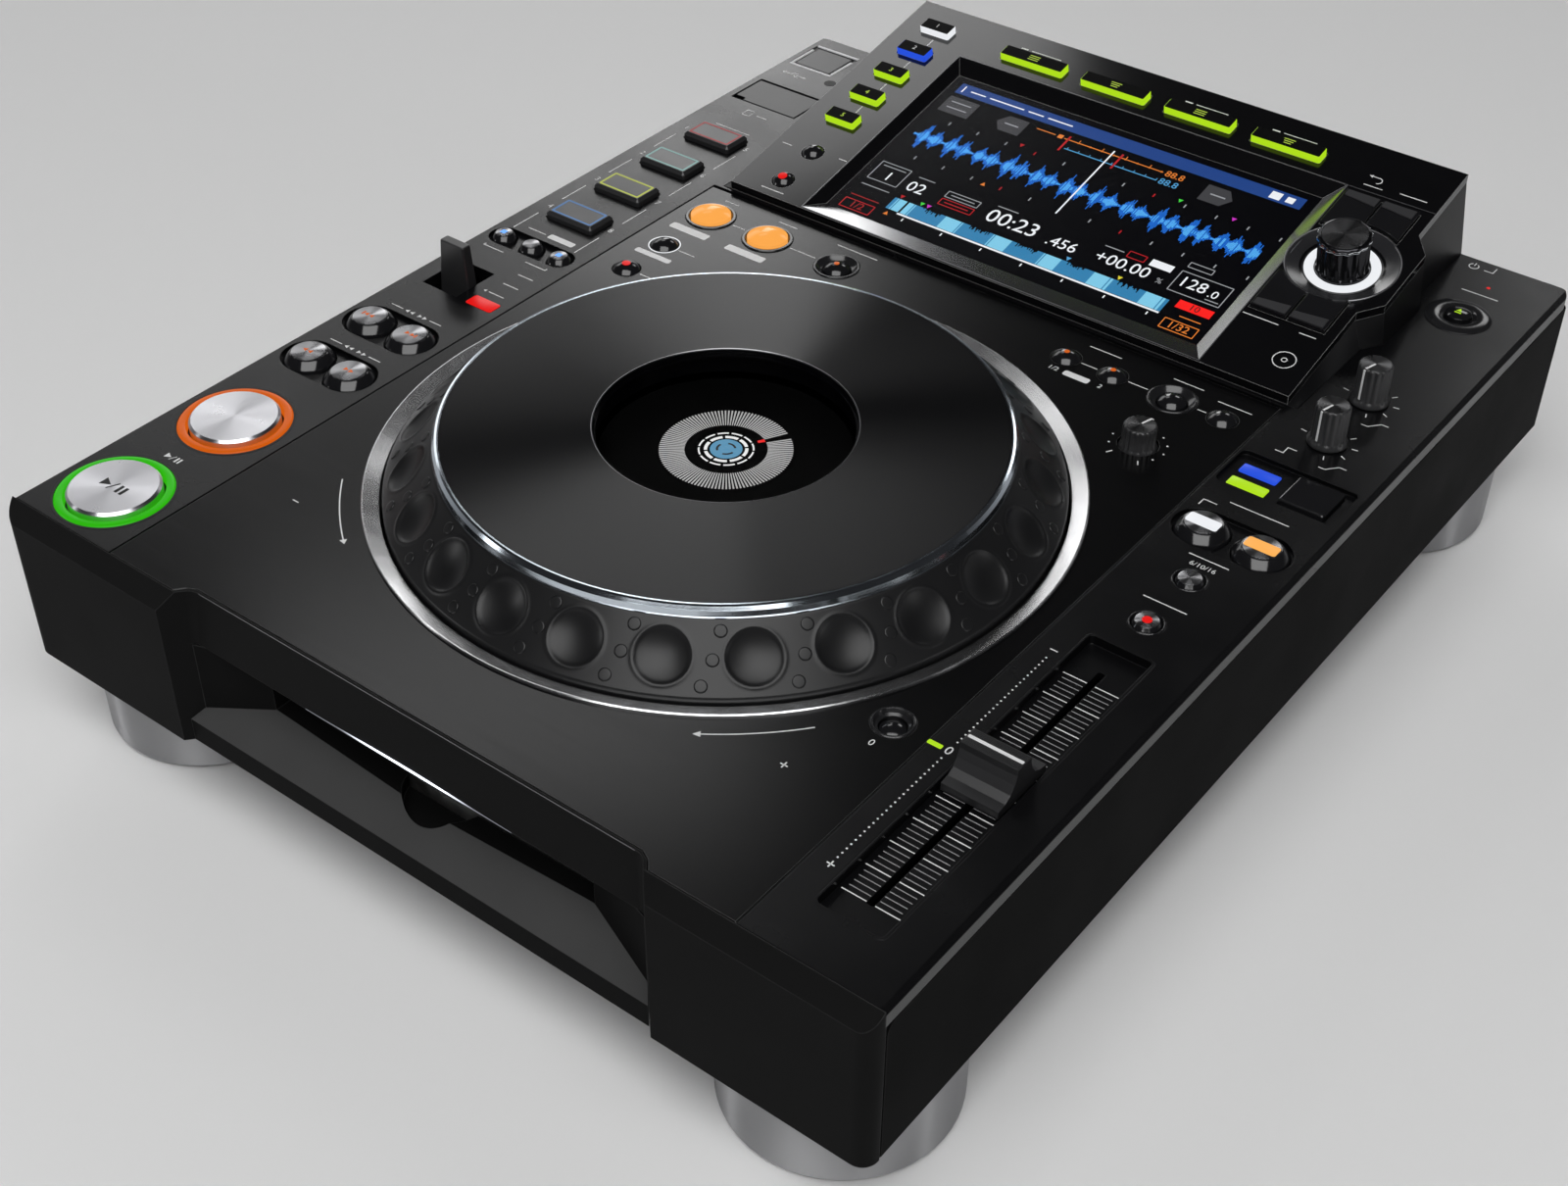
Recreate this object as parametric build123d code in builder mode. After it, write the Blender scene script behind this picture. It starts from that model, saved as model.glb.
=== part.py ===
from build123d import *
import math
import os

os.makedirs("parts", exist_ok=True)

# ---------------------------------------------------------------- driving dimensions (mm)
# X runs to the right, Y to the back, Z up. The origin is on the table, under the middle.
half_w = 160.0          # half the body's width
half_d = 202.7          # half the body's depth
foot_h = 28.0           # table to the lower edge of the skirt
pan_z = 31.0            # underside of the bottom pan, recessed inside the skirt
side_top = 78.0         # top edge of the side plates
case_low = 79.4         # underside of the top case
seat_z = 81.9           # underside of the deck plate
deck_z = 83.9           # top of the deck and of the control strips
deck_half_w = 115.7     # half the deck plate's width
deck_rear = 77.9        # rear edge of the deck plate
deck_front = -193.2     # front edge of the deck plate in the middle
block_y = -197.6        # front edge of the top case above the end blocks
board_top = 74.0        # top of the boards that carry the switches
side_t = 3.0            # side plate thickness
gap = 0.35              # play around each button
press = 1.2             # travel of a button
chamfer_case = 1.5      # bevel along the outer edges of the top case

# jog wheel
jog_y = -57.7           # jog wheel centre, on X = 0
jog_r = 103.2           # largest radius of the turning dial
jog_hole_r = 108.0      # hole in the deck
ring_r = 109.35         # outer radius of the fixed bevelled ring
cone_low = 84.8         # height at which the dimpled cone starts
cone_top_r = 87.3
cone_top = 99.7
plate_top = 103.1       # top face of the dial
plate_r = 84.7
window_r = 39.9
dial_display_z = 93.1   # face of the round display inside the dial
post_r = 28.0           # fixed post that the dial turns on
bearing_play = 0.05
dimples = 24
dimple_r = 8.25
dimple_depth = 1.6

# display housing
tilt = 12.2             # slope of the display panel, degrees
panel_rear_z = 113.7    # height of the panel's rear edge
panel_t = 3.0
panel_left = -109.3
panel_right = 116.3
panel_bulge = 122.7     # the panel widens beside the rotary selector
panel_front = 80.5      # y of the panel's front edge
wall_flare = 3.7        # the housing's walls lean out by this much at their foot
wall_t = 2.5

# control strips
left_x = -138.0         # centre line of the left strip
right_x = 136.0         # centre line of the right strip

C = Align.CENTER
BASE = (C, C, Align.MIN)
panel_plane = Plane(
    origin=(0, half_d, panel_rear_z),
    x_dir=(1, 0, 0),
    z_dir=(0, -math.sin(math.radians(tilt)), math.cos(math.radians(tilt))),
)


def panel_v(y):
    """Distance from the panel's rear edge down its slope, for a place y in plan."""
    return (half_d - y) / math.cos(math.radians(tilt))


def write(builder, name):
    """Label a finished piece and write it to its own file."""
    builder.part.label = name
    export_step(builder.part, f"parts/{name}.step")


# ---------------------------------------------------------------- small shape helpers
# Each one adds to, or cuts from, the part being built.
def disc(x, y, z0, z1, r, mode=Mode.ADD, plane=Plane.XY):
    with Locations(plane.location * Location((x, y, z0))):
        Cylinder(r, z1 - z0, align=BASE, mode=mode)


def cone(x, y, z0, z1, r0, r1, mode=Mode.ADD, plane=Plane.XY):
    with Locations(plane.location * Location((x, y, z0))):
        Cone(r0, r1, z1 - z0, align=BASE, mode=mode)


def slab(x0, x1, y0, y1, z0, z1, mode=Mode.ADD, plane=Plane.XY):
    with Locations(plane.location * Location(((x0 + x1) / 2, (y0 + y1) / 2, z0))):
        Box(x1 - x0, y1 - y0, z1 - z0, align=BASE, mode=mode)


def rounded(x0, x1, y0, y1, z0, z1, r, mode=Mode.ADD, plane=Plane.XY):
    with BuildSketch(plane.offset(z0)) as outline:
        with Locations(((x0 + x1) / 2, (y0 + y1) / 2)):
            RectangleRounded(x1 - x0, y1 - y0, r)
    extrude(outline.sketch, amount=z1 - z0, mode=mode)


def stadium(x, y, length, width, z0, z1, mode=Mode.ADD):
    with BuildSketch(Plane.XY.offset(z0)) as outline:
        with Locations((x, y)):
            SlotOverall(length, width)
    extrude(outline.sketch, amount=z1 - z0, mode=mode)


def prism(points, z0, z1, mode=Mode.ADD, plane=Plane.XY):
    with BuildSketch(plane.offset(z0)) as outline:
        with BuildLine():
            Polyline(*points, close=True)
        make_face()
    extrude(outline.sketch, amount=z1 - z0, mode=mode)


def spun(points, mode=Mode.ADD, x=0.0, y=0.0):
    """Revolve a profile of (radius, height) points about the vertical through x, y."""
    with BuildSketch(Plane.XZ.offset(-y)) as outline:
        with BuildLine():
            Polyline(*[(x + r, z) for r, z in points], close=True)
        make_face()
    revolve(outline.sketch, axis=Axis((x, y, 0), (0, 0, 1)), mode=mode)


def stalk(x, y, z_top, r, flange=1.2):
    """Button body with its retaining flange, and a plunger that stands over the switch."""
    under = case_low - 0.4
    disc(x, y, under - 1.1, z_top, r)
    disc(x, y, under - 1.1, under, r + flange)
    disc(x, y, board_top + press + 0.4, under - 1.1, 2.0)


# ---------------------------------------------------------------- places of the controls
play_at = (left_x, -177.5)
cue_at = (left_x, -130.5)
search_at = [(-147.3, -91.0), (-128.7, -91.0)]
track_at = [(-147.3, -63.6), (-128.7, -63.6)]
bank_at = [(-151.0, 4.8), (-138.0, 4.8), (-125.0, 4.8)]
hot_cue_at = [(-137.8, 106.6 - 25.6 * i) for i in range(4)]
loop_in_at = (-102.3, 60.3)
loop_out_at = (-76.7, 60.3)
reloop_at = (-46.3, 60.3)
cutter_at = (-102.5, 34.8)
slip_at = (-102.5, 14.5)
call_at = [(46.5, 61.0), (64.0, 61.0), (104.0, 61.0)]
delete_at = (86.0, 61.0)
adjust_at = (90.0, 33.0)
reset_at = (104.3, -117.0)
eject_at = (136.5, 163.5)
release_at = (135.5, 99.0)
start_at = (135.5, 70.0)
mode_at = (145.0, 41.3)
sync_at = [(126.7, 8.0), (145.9, 8.0)]
tempo_at = [(right_x, -16.0), (right_x, -40.0)]
fader_y = -117.0
fader_travel = 50.0

ring_button_r = 14.2    # play and cue discs
light_inner_r = 15.0
light_outer_r = 17.9
search_r = 8.5
bank_r = 4.5
loop_r = 7.2
loop_ring_r = 9.2
small_r = 4.8
dish_r = 8.2
reset_r = 3.7
eject_r = 4.3
tempo_r = 4.3
knob_r = 6.2

lever_x = -143.4
lever_y = -25.9
lever_pivot_z = 60.0
lever_slot = (15.8, 18.8)

sd_x = (-155.3, -125.2)
sd_y = (138.6, 156.4)
usb_x = (-154.4, -137.2)
usb_y = (177.2, 193.4)
door_t = 2.0
hinge_in = 1.0          # door hinge pins, in from the rear edge
hinge_down = 1.25       # and down from the top
pin_r = 0.7


# ---------------------------------------------------------------- chassis and case
# Steel pan with turned-up sides, cut back at the front to leave room for the slot lip.
lip_half_w = 90.9
pan_t = 1.4
inner_half_w = half_w - side_t
rear_y = (199.0, 201.2)
post_x = 151.6
post_at = [(-post_x, y) for y in (-153.8, -45.0, 125.5)] + [(post_x, y) for y in (-175.0, -60.0, 120.0)]
with BuildPart() as bottom_chassis:
    slab(-inner_half_w, inner_half_w, -199.4, rear_y[0], pan_z, pan_z + pan_t)
    slab(-lip_half_w, lip_half_w, -200, -184.0, pan_z, pan_z + pan_t, Mode.SUBTRACT)
    for side in (-1, 1):
        edge = sorted((side * (inner_half_w - pan_t), side * inner_half_w))
        slab(edge[0], edge[1], -196.9, rear_y[0], pan_z, 60.0)
    for x, y in post_at:
        disc(x, y, pan_z + pan_t, case_low, 3.1)
        disc(x, y, pan_z, 55.0, 1.3, Mode.SUBTRACT)
    for row in range(9):
        for x in (-40.0, 0.0, 40.0):
            slab(x - 14, x + 14, 40 + 9 * row, 43 + 9 * row, pan_z, pan_z + pan_t, Mode.SUBTRACT)
write(bottom_chassis, "bottom_chassis")

with BuildPart() as side_plates:
    for side in (-1, 1):
        near = sorted((side * (half_w - side_t), side * half_w))
        slab(near[0], near[1], -197.1, half_d, foot_h, side_top)
    front_edges = side_plates.edges().filter_by(Axis.X).group_by(Axis.Y)[0]
    fillet(front_edges.group_by(Axis.Z)[-1], 4.0)
    for side in (-1, 1):
        outer = side_plates.faces().sort_by(Axis.X)[-1 if side > 0 else 0]
        chamfer(outer.edges(), 0.6)
write(side_plates, "side_plates")


# the deck's front edge steps back behind each end block's inner wall
deck_step = [(88.0, block_y), (85.6, -194.8), (82.5, deck_front)]


def deck_outline(width, rear, grow=0.0):
    """Plan outline of the deck, with its front edge let out by grow."""
    step = [(x - 0.67 * grow, y - grow) for x, y in deck_step]
    right = [(width, rear), (width, step[0][1]), *step]
    return right + [(-x, y) for x, y in reversed(right)]


deck_holes = [
    (loop_in_at, loop_ring_r),
    (loop_out_at, loop_ring_r),
    (reloop_at, dish_r),
    (delete_at, dish_r),
    (cutter_at, small_r + gap),
    (slip_at, small_r + gap),
    (adjust_at, knob_r + gap),
    (reset_at, 6.3),
] + [(at, small_r + gap) for at in call_at]

with BuildPart() as deck_plate:
    prism(deck_outline(deck_half_w, deck_rear), seat_z, deck_z)
    disc(0, jog_y, seat_z, deck_z, jog_hole_r, Mode.SUBTRACT)
    for (x, y), r in deck_holes:
        disc(x, y, seat_z, deck_z, r, Mode.SUBTRACT)
    rim = deck_plate.faces().sort_by(Axis.Z)[-1].outer_wire().edges()
    chamfer(rim, 0.3)
write(deck_plate, "deck_plate")

fader_x = (125.5, 147.0)
fader_y_ends = (-181.0, -53.0)
search_recess = (37.6, 18.2)
bank_recess = (37.0, 11.0)
mode_recess = (117.0, 156.0, 32.0, 51.2)
recess_z = deck_z - 1.6

with BuildPart() as top_case:
    prism(deck_outline(half_w, half_d), side_top + 0.3, deck_z)
    long_edges = top_case.edges().filter_by(Axis.Y).group_by(Axis.Z)[-1]
    outer_edges = [e for e in long_edges if abs(abs(e.center().X) - half_w) < 0.1]
    chamfer(outer_edges, chamfer_case)
    fillet(top_case.edges().filter_by(Axis.Z).group_by(Axis.Y)[-1], 4.0)
    slab(-157, 157, -190, 199, side_top, case_low, Mode.SUBTRACT)
    slab(-157, 157, -199, -180, side_top, case_low, Mode.SUBTRACT)
    # seat of the deck plate, a groove behind it, and the openings
    slab(-deck_half_w - 0.3, deck_half_w + 0.3, -half_d, deck_rear + 1.3, seat_z, deck_z, Mode.SUBTRACT)
    disc(0, jog_y, case_low - 1, deck_z, jog_hole_r, Mode.SUBTRACT)
    slab(-104, 110, 83.4, 197, case_low - 1, deck_z, Mode.SUBTRACT)
    # buttons of the deck
    for at in (loop_in_at, loop_out_at):
        disc(at[0], at[1], case_low, seat_z, loop_r + gap, Mode.SUBTRACT)
    for at in (reloop_at, delete_at, cutter_at, slip_at, *call_at):
        disc(at[0], at[1], case_low, seat_z, small_r + gap, Mode.SUBTRACT)
    disc(adjust_at[0], adjust_at[1], case_low, seat_z, 3.0 + bearing_play, Mode.SUBTRACT)
    disc(reset_at[0], reset_at[1], case_low, seat_z, reset_r + gap, Mode.SUBTRACT)
    # left strip
    for at in (play_at, cue_at):
        disc(at[0], at[1], case_low + 1.6, deck_z, light_outer_r + 0.1, Mode.SUBTRACT)
        disc(at[0], at[1], case_low, deck_z, ring_button_r + gap, Mode.SUBTRACT)
    for pair in (search_at, track_at):
        stadium(left_x, pair[0][1], *search_recess, recess_z, deck_z, Mode.SUBTRACT)
        for x, y in pair:
            disc(x, y, case_low, deck_z, search_r + gap, Mode.SUBTRACT)
    stadium(left_x, bank_at[0][1], *bank_recess, recess_z, deck_z, Mode.SUBTRACT)
    for x, y in bank_at:
        disc(x, y, case_low, deck_z, bank_r + gap, Mode.SUBTRACT)
    for x, y in hot_cue_at:
        rounded(x - 11.1, x + 11.1, y - 6.65, y + 6.65, case_low, deck_z, 1.6, Mode.SUBTRACT)
    slab(
        lever_x - lever_slot[0] / 2,
        lever_x + lever_slot[0] / 2,
        lever_y - lever_slot[1] / 2,
        lever_y + lever_slot[1] / 2,
        case_low,
        deck_z,
        Mode.SUBTRACT,
    )
    # ears that carry the lever's cross pin
    for side in (-1, 1):
        x0, x1 = sorted((lever_x + side * 8.2, lever_x + side * 10.4))
        slab(x0, x1, lever_y - 4, lever_y + 4, lever_pivot_z - 4, case_low)
        with Locations((lever_x + side * 9.3, lever_y, lever_pivot_z)):
            Cylinder(1.5 + bearing_play, 6, rotation=(0, 90, 0), mode=Mode.SUBTRACT)
    # holes for the card and stick doors, with the bores of their hinge pins
    for (x0, x1), (y0, y1) in ((sd_x, sd_y), (usb_x, usb_y)):
        slab(x0 - 0.4, x1 + 0.4, y0 - 0.4, y1 + 1.0, case_low, deck_z, Mode.SUBTRACT)
        for x in (x0 - 0.9, x1 + 0.9):
            with Locations((x, y1 - hinge_in, deck_z - hinge_down)):
                Cylinder(pin_r + 0.05, 2.4, rotation=(0, 90, 0), mode=Mode.SUBTRACT)
    usb_rim = (usb_x[0] - 1.8, usb_x[1] + 1.8, usb_y[0] - 1.8, usb_y[1] + 2.4)
    rounded(*usb_rim, deck_z - 0.4, deck_z, 1.5, Mode.SUBTRACT)
    # right strip
    disc(eject_at[0], eject_at[1], case_low, deck_z, eject_r + gap, Mode.SUBTRACT)
    for at in (release_at, start_at):
        disc(at[0], at[1], case_low, deck_z, 3.0 + bearing_play, Mode.SUBTRACT)
    rounded(*mode_recess, recess_z, deck_z, 2.0, Mode.SUBTRACT)
    mode_hole = (mode_at[0] - 7.9, mode_at[0] + 7.9, mode_at[1] - 7.6, mode_at[1] + 7.6)
    rounded(*mode_hole, case_low, deck_z, 1.0, Mode.SUBTRACT)
    stadium((sync_at[0][0] + sync_at[1][0]) / 2, sync_at[0][1], 38.4, 18.2, recess_z, deck_z, Mode.SUBTRACT)
    for x, y in sync_at:
        disc(x, y, case_low, deck_z, search_r + gap, Mode.SUBTRACT)
    for x, y in tempo_at:
        disc(x, y, case_low, deck_z, tempo_r + gap, Mode.SUBTRACT)
        disc(x, y, deck_z - 0.8, deck_z, tempo_r + 1.1, Mode.SUBTRACT)
    rounded(*fader_x, *fader_y_ends, case_low, deck_z, 2.0, Mode.SUBTRACT)
write(top_case, "top_case")

# Tubs under the two doors, each with its slot in the floor.
tub_t = 1.2
with BuildPart() as media_slots:
    for (x0, x1), (y0, y1) in ((sd_x, sd_y), (usb_x, usb_y)):
        x0, x1, y0, y1 = x0 - 0.4, x1 + 0.4, y0 - 0.4, y1 + 1.0
        slab(x0 - tub_t, x1 + tub_t, y0 - tub_t, y1 + tub_t, board_top, case_low - 0.02)
        slab(x0, x1, y0, y1, board_top + tub_t, case_low, Mode.SUBTRACT)
    slab(sd_x[0] + 2.7, sd_x[1] - 2.7, 146.0, 149.0, board_top, board_top + tub_t, Mode.SUBTRACT)
    slab(usb_x[0] + 2, usb_x[1] - 2, 182.6, 188.0, board_top, board_top + tub_t, Mode.SUBTRACT)
write(media_slots, "media_slots")

# ---------------------------------------------------------------- front
chamfer_y = -197.9      # the bevel over the end blocks starts here
block_face_top = 78.0   # and ends here on the front face
block_back = -191.0
band_low = 64.7
block_in = 91.0         # inner edge of an end block on the front face
wall_back = (83.5, -194.1)  # its sloping inner wall meets the centre band here
wall_run = (block_in - wall_back[0]) / (half_d + wall_back[1])


def wall_x(y, play=0.0):
    """Half the clear width between the two inner walls at a given y."""
    return block_in - wall_run * (y + half_d) - play



with BuildPart() as front_panel:
    for side in (-1, 1):
        block = [
            (side * block_in, -half_d),
            (side * half_w, -half_d),
            (side * half_w, block_back),
            (side * wall_back[0], block_back),
            (side * wall_back[0], wall_back[1]),
        ]
        prism(block, foot_h, deck_z)
    for end in (0, -1):
        front_corners = front_panel.edges().filter_by(Axis.Z).group_by(Axis.Y)[0]
        fillet(front_corners.sort_by(Axis.X)[end], 5.0)
    # centre band, leaning out a little towards its lower edge
    band = [(-195.7, band_low), (-194.2, deck_z), (-193.5, deck_z), (-193.5, band_low)]
    band_reach = wall_back[0] + 2.5
    with BuildSketch(Plane.YZ.offset(-band_reach)) as band_face:
        with BuildLine():
            Polyline(*band, close=True)
        make_face()
    extrude(band_face.sketch, amount=2 * band_reach)
    # hollows round both end walls into the band
    corners = front_panel.edges().filter_by(lambda e: abs(abs(e.center().X) - wall_back[0] - 0.7) < 0.6)
    corners = corners.filter_by(lambda e: -195.6 < e.center().Y < -194.3 and e.length > 15.0)
    fillet(corners, 4.5)
    # sloping bevel along the top of both blocks, and the step that the top case covers
    bevel = [
        (-half_d - 1, block_face_top),
        (-half_d, block_face_top),
        (chamfer_y, deck_z),
        (chamfer_y, deck_z + 1),
        (-half_d - 1, deck_z + 1),
    ]
    with BuildSketch(Plane.YZ.offset(-half_w)) as bevel_cut:
        with BuildLine():
            Polyline(*bevel, close=True)
        make_face()
    extrude(bevel_cut.sketch, amount=2 * half_w, mode=Mode.SUBTRACT)
    prism(deck_outline(half_w + 1, block_back + 2, 0.15), side_top + 0.2, deck_z + 1, Mode.SUBTRACT)
    wall_thick = 2.1        # measured along X
    for side in (-1, 1):
        for front, top in ((-199.4, side_top - 1.6), (-197.6, side_top + 0.3)):
            room = [
                (side * (wall_x(front) + wall_thick), front),
                (side * inner_half_w, front),
                (side * inner_half_w, block_back),
                (side * (wall_back[0] + 1.5 * wall_thick), block_back),
                (side * (wall_x(-195.4) + wall_thick), -195.4),
            ]
            prism(room, foot_h, top, Mode.SUBTRACT)
        outer = sorted((side * (inner_half_w - 0.1), side * (half_w + 1)))
        slab(*outer, -197.3, block_back, foot_h, deck_z, Mode.SUBTRACT)
write(front_panel, "front_panel")

# Lip under the slot: a scoop that rises to the back, with a shallow V and a finger notch.
lip_low = foot_h + 0.3
lip_front = -200.4
lip_front_z = 36.4      # height of the lip's front edge
lip_slope = 1.0
slot_half_w = 61.4
slot_y = -189.5
lip_rear = -184.0
with BuildPart() as slot_lip:
    lip_rear_x = wall_back[0] - 0.3
    right = [(wall_x(lip_front, 0.35), lip_front), (lip_rear_x, wall_back[1]), (lip_rear_x, lip_rear)]
    prism(right + [(-x, y) for x, y in reversed(right)], lip_low, band_low - 0.3)
    # everything above the sloping surface, between the flared side walls
    flare = [(92.0, -203.5), (86.3, -197.0), (slot_half_w, slot_y)]
    with BuildSketch(Plane.XY.offset(pan_z)) as flare_plan:
        with BuildLine():
            Polyline(*flare, *[(-x, y) for x, y in reversed(flare)], close=True)
        make_face()
    slope = [(lip_front + run, lip_front_z + lip_slope * run) for run in (-4.0, 20.0)]
    slope += [(lip_front + 20.0, 70.0), (lip_front - 4.0, 70.0)]
    with BuildPart(mode=Mode.PRIVATE) as scoop:
        extrude(flare_plan.sketch, amount=40)
        with BuildSketch(Plane.YZ.offset(-95)) as slope_face:
            with BuildLine():
                Polyline(*slope, close=True)
            make_face()
        extrude(slope_face.sketch, amount=190, mode=Mode.INTERSECT)
    add(scoop.part, mode=Mode.SUBTRACT)
    # the mouth: a shallow V right through, and a notch for the finger
    mouth = [(-slot_half_w, 60.0), (-slot_half_w, 47.4), (0, 45.7), (slot_half_w, 47.4), (slot_half_w, 60.0)]
    with BuildSketch(Plane.XZ.offset(-lip_rear - 1.0)) as mouth_face:
        with BuildLine():
            Polyline(*mouth, close=True)
        make_face()
    extrude(mouth_face.sketch, amount=9.0, mode=Mode.SUBTRACT)
    disc(0, -180.3, 41.5, 60.0, 14.0, Mode.SUBTRACT)
write(slot_lip, "slot_lip")

# ---------------------------------------------------------------- rear
rca_x = (98.0, 116.0)
coax_x = 78.0
control_x = 58.0
lan_x = 32.0
usb_b_x = 6.0
inlet_x = -122.0
switch_x = -84.0
jack_z = 55.0
rocker_tilt = math.radians(8)
rocker_y = 196.8
with BuildPart() as rear_panel:
    slab(-inner_half_w, inner_half_w, *rear_y, foot_h + 0.3, side_top)
    for x in (*rca_x, coax_x):
        with Locations((x, 200, jack_z)):
            Cylinder(6.2, 10, rotation=(90, 0, 0), mode=Mode.SUBTRACT)
    with Locations((control_x, 200, jack_z)):
        Cylinder(4.4, 10, rotation=(90, 0, 0), mode=Mode.SUBTRACT)
    slab(lan_x - 8.2, lan_x + 8.2, 195, 205, jack_z - 7.2, jack_z + 7.2, Mode.SUBTRACT)
    slab(usb_b_x - 6.2, usb_b_x + 6.2, 195, 205, jack_z - 5.7, jack_z + 5.7, Mode.SUBTRACT)
    slab(inlet_x - 14.2, inlet_x + 14.2, 195, 205, jack_z - 10.2, jack_z + 10.2, Mode.SUBTRACT)
    slab(switch_x - 9.2, switch_x + 9.2, 195, 205, jack_z - 12.2, jack_z + 12.2, Mode.SUBTRACT)
write(rear_panel, "rear_panel")


def barrel(x, y0, y1, r, mode=Mode.ADD):
    """Round length of a jack, lying along Y."""
    with Locations(Plane.XZ.offset(-y0).location * Location((x, jack_z, 0))):
        Cylinder(r, y1 - y0, align=(C, C, Align.MAX), mode=mode)


with BuildPart() as rear_sockets:
    for x in (*rca_x, coax_x):
        barrel(x, 186, 201.4, 6.0)
        barrel(x, 186, 202.5, 4.2)
        barrel(x, 190, 203.0, 3.2, Mode.SUBTRACT)
        barrel(x, 186, 200.0, 1.7)
    barrel(control_x, 184, 202.0, 4.2)
    barrel(control_x, 188, 203.0, 1.8, Mode.SUBTRACT)
    slab(lan_x - 8, lan_x + 8, 181, 201.8, jack_z - 7, jack_z + 7)
    slab(lan_x - 6, lan_x + 6, 185, 203, jack_z - 4, jack_z + 5, Mode.SUBTRACT)
    slab(usb_b_x - 6, usb_b_x + 6, 186, 201.8, jack_z - 5.5, jack_z + 5.5)
    slab(usb_b_x - 4.4, usb_b_x + 4.4, 189, 203, jack_z - 4, jack_z + 4, Mode.SUBTRACT)
    slab(usb_b_x - 2.8, usb_b_x + 2.8, 188, 196, jack_z - 1.6, jack_z + 1.6)
    slab(inlet_x - 14, inlet_x + 14, 180, 202.2, jack_z - 10, jack_z + 10)
    slab(inlet_x - 12.2, inlet_x + 12.2, 185, 203, jack_z - 8.2, jack_z + 8.2, Mode.SUBTRACT)
    for dx in (-5.5, 0, 5.5):
        slab(inlet_x + dx - 1.0, inlet_x + dx + 1.0, 184, 194, jack_z - 2.0, jack_z + 2.0)
    # frame that carries the power switch's trunnions
    slab(switch_x - 9, switch_x + 9, 186, 202.0, jack_z - 12, jack_z + 12)
    slab(switch_x - 7, switch_x + 7, 188, 203, jack_z - 10.4, jack_z + 10.4, Mode.SUBTRACT)
    with Locations((switch_x, rocker_y, jack_z)):
        Cylinder(1.5 + bearing_play, 18, rotation=(0, 90, 0), mode=Mode.SUBTRACT)
write(rear_sockets, "rear_sockets")

rocker_plane = Plane(
    origin=(switch_x - 6.5, rocker_y, jack_z),
    x_dir=(0, math.cos(rocker_tilt), math.sin(rocker_tilt)),
    z_dir=(1, 0, 0),
)
with BuildPart() as power_switch:
    with BuildSketch(rocker_plane) as rocker:
        with BuildLine():
            Polyline((-4.0, -6.0), (-4.0, 6.0), (4.6, 9.2), (3.4, 0.0), (4.6, -9.2), close=True)
        make_face()
    extrude(rocker.sketch, amount=13)
    with Locations((switch_x, rocker_y, jack_z)):
        Cylinder(1.5, 17.6, rotation=(0, 90, 0))
write(power_switch, "power_switch")

# ---------------------------------------------------------------- feet
foot_r = 34.0
foot_seat_r = 25.0
pad_r = 28.8            # rubber pad let into the underside
pad_top = 3.0
foot_at = [(-124.9, -165.1), (124.9, -165.1), (-124.9, 167.4), (124.9, 167.4)]
with BuildPart() as feet:
    for x, y in foot_at:
        disc(x, y, 0.8, foot_h - 0.5, foot_r)
        disc(x, y, foot_h - 0.5, pan_z, foot_seat_r)
    low_edges = feet.edges().filter_by(GeomType.CIRCLE).group_by(Axis.Z)[0]
    fillet(low_edges, 1.6)
    for x, y in foot_at:
        disc(x, y, 0.8, pad_top, pad_r + 0.2, Mode.SUBTRACT)
    for x, y in foot_at:
        disc(x, y, 0.0, pad_top - 0.02, pad_r)
    fillet(feet.edges().filter_by(GeomType.CIRCLE).group_by(Axis.Z)[0], 0.6)
write(feet, "feet")

# ---------------------------------------------------------------- jog wheel
bezel_r = 104.2         # inner radius, just clear of the dial
bezel_top = 84.9
bezel_fall = 1.6        # the ring's face slopes down towards the dial
with BuildPart() as jog_bezel_ring:
    spun(
        [
            (ring_r, deck_z),
            (ring_r, 84.6),
            (109.05, bezel_top),
            (108.8, bezel_top),
            (bezel_r, bezel_top - bezel_fall),
            (bezel_r, 78.9),
            (107.8, 78.9),
            (107.8, deck_z),
        ],
        y=jog_y,
    )
write(jog_bezel_ring, "jog_bezel_ring")

post_floor = 68.0
display_seat_r = 38.4
with BuildPart() as jog_post:
    spun(
        [
            (0, post_floor),
            (112.0, post_floor),
            (112.0, case_low),
            (107.8, case_low),
            (107.8, 78.9),
            (106.2, 78.9),
            (106.2, post_floor + 2),
            (post_r, post_floor + 2),
            (post_r, 89.5),
            (display_seat_r, 90.5),
            (display_seat_r, 92.4),
            (0, 92.4),
        ],
        y=jog_y,
    )
    disc(0, jog_y, post_floor, 88.0, 9.0, Mode.SUBTRACT)
write(jog_post, "jog_post")

with BuildPart() as jog_display:
    disc(0, jog_y, 92.4, dial_display_z, display_seat_r)
write(jog_display, "jog_display")

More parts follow.
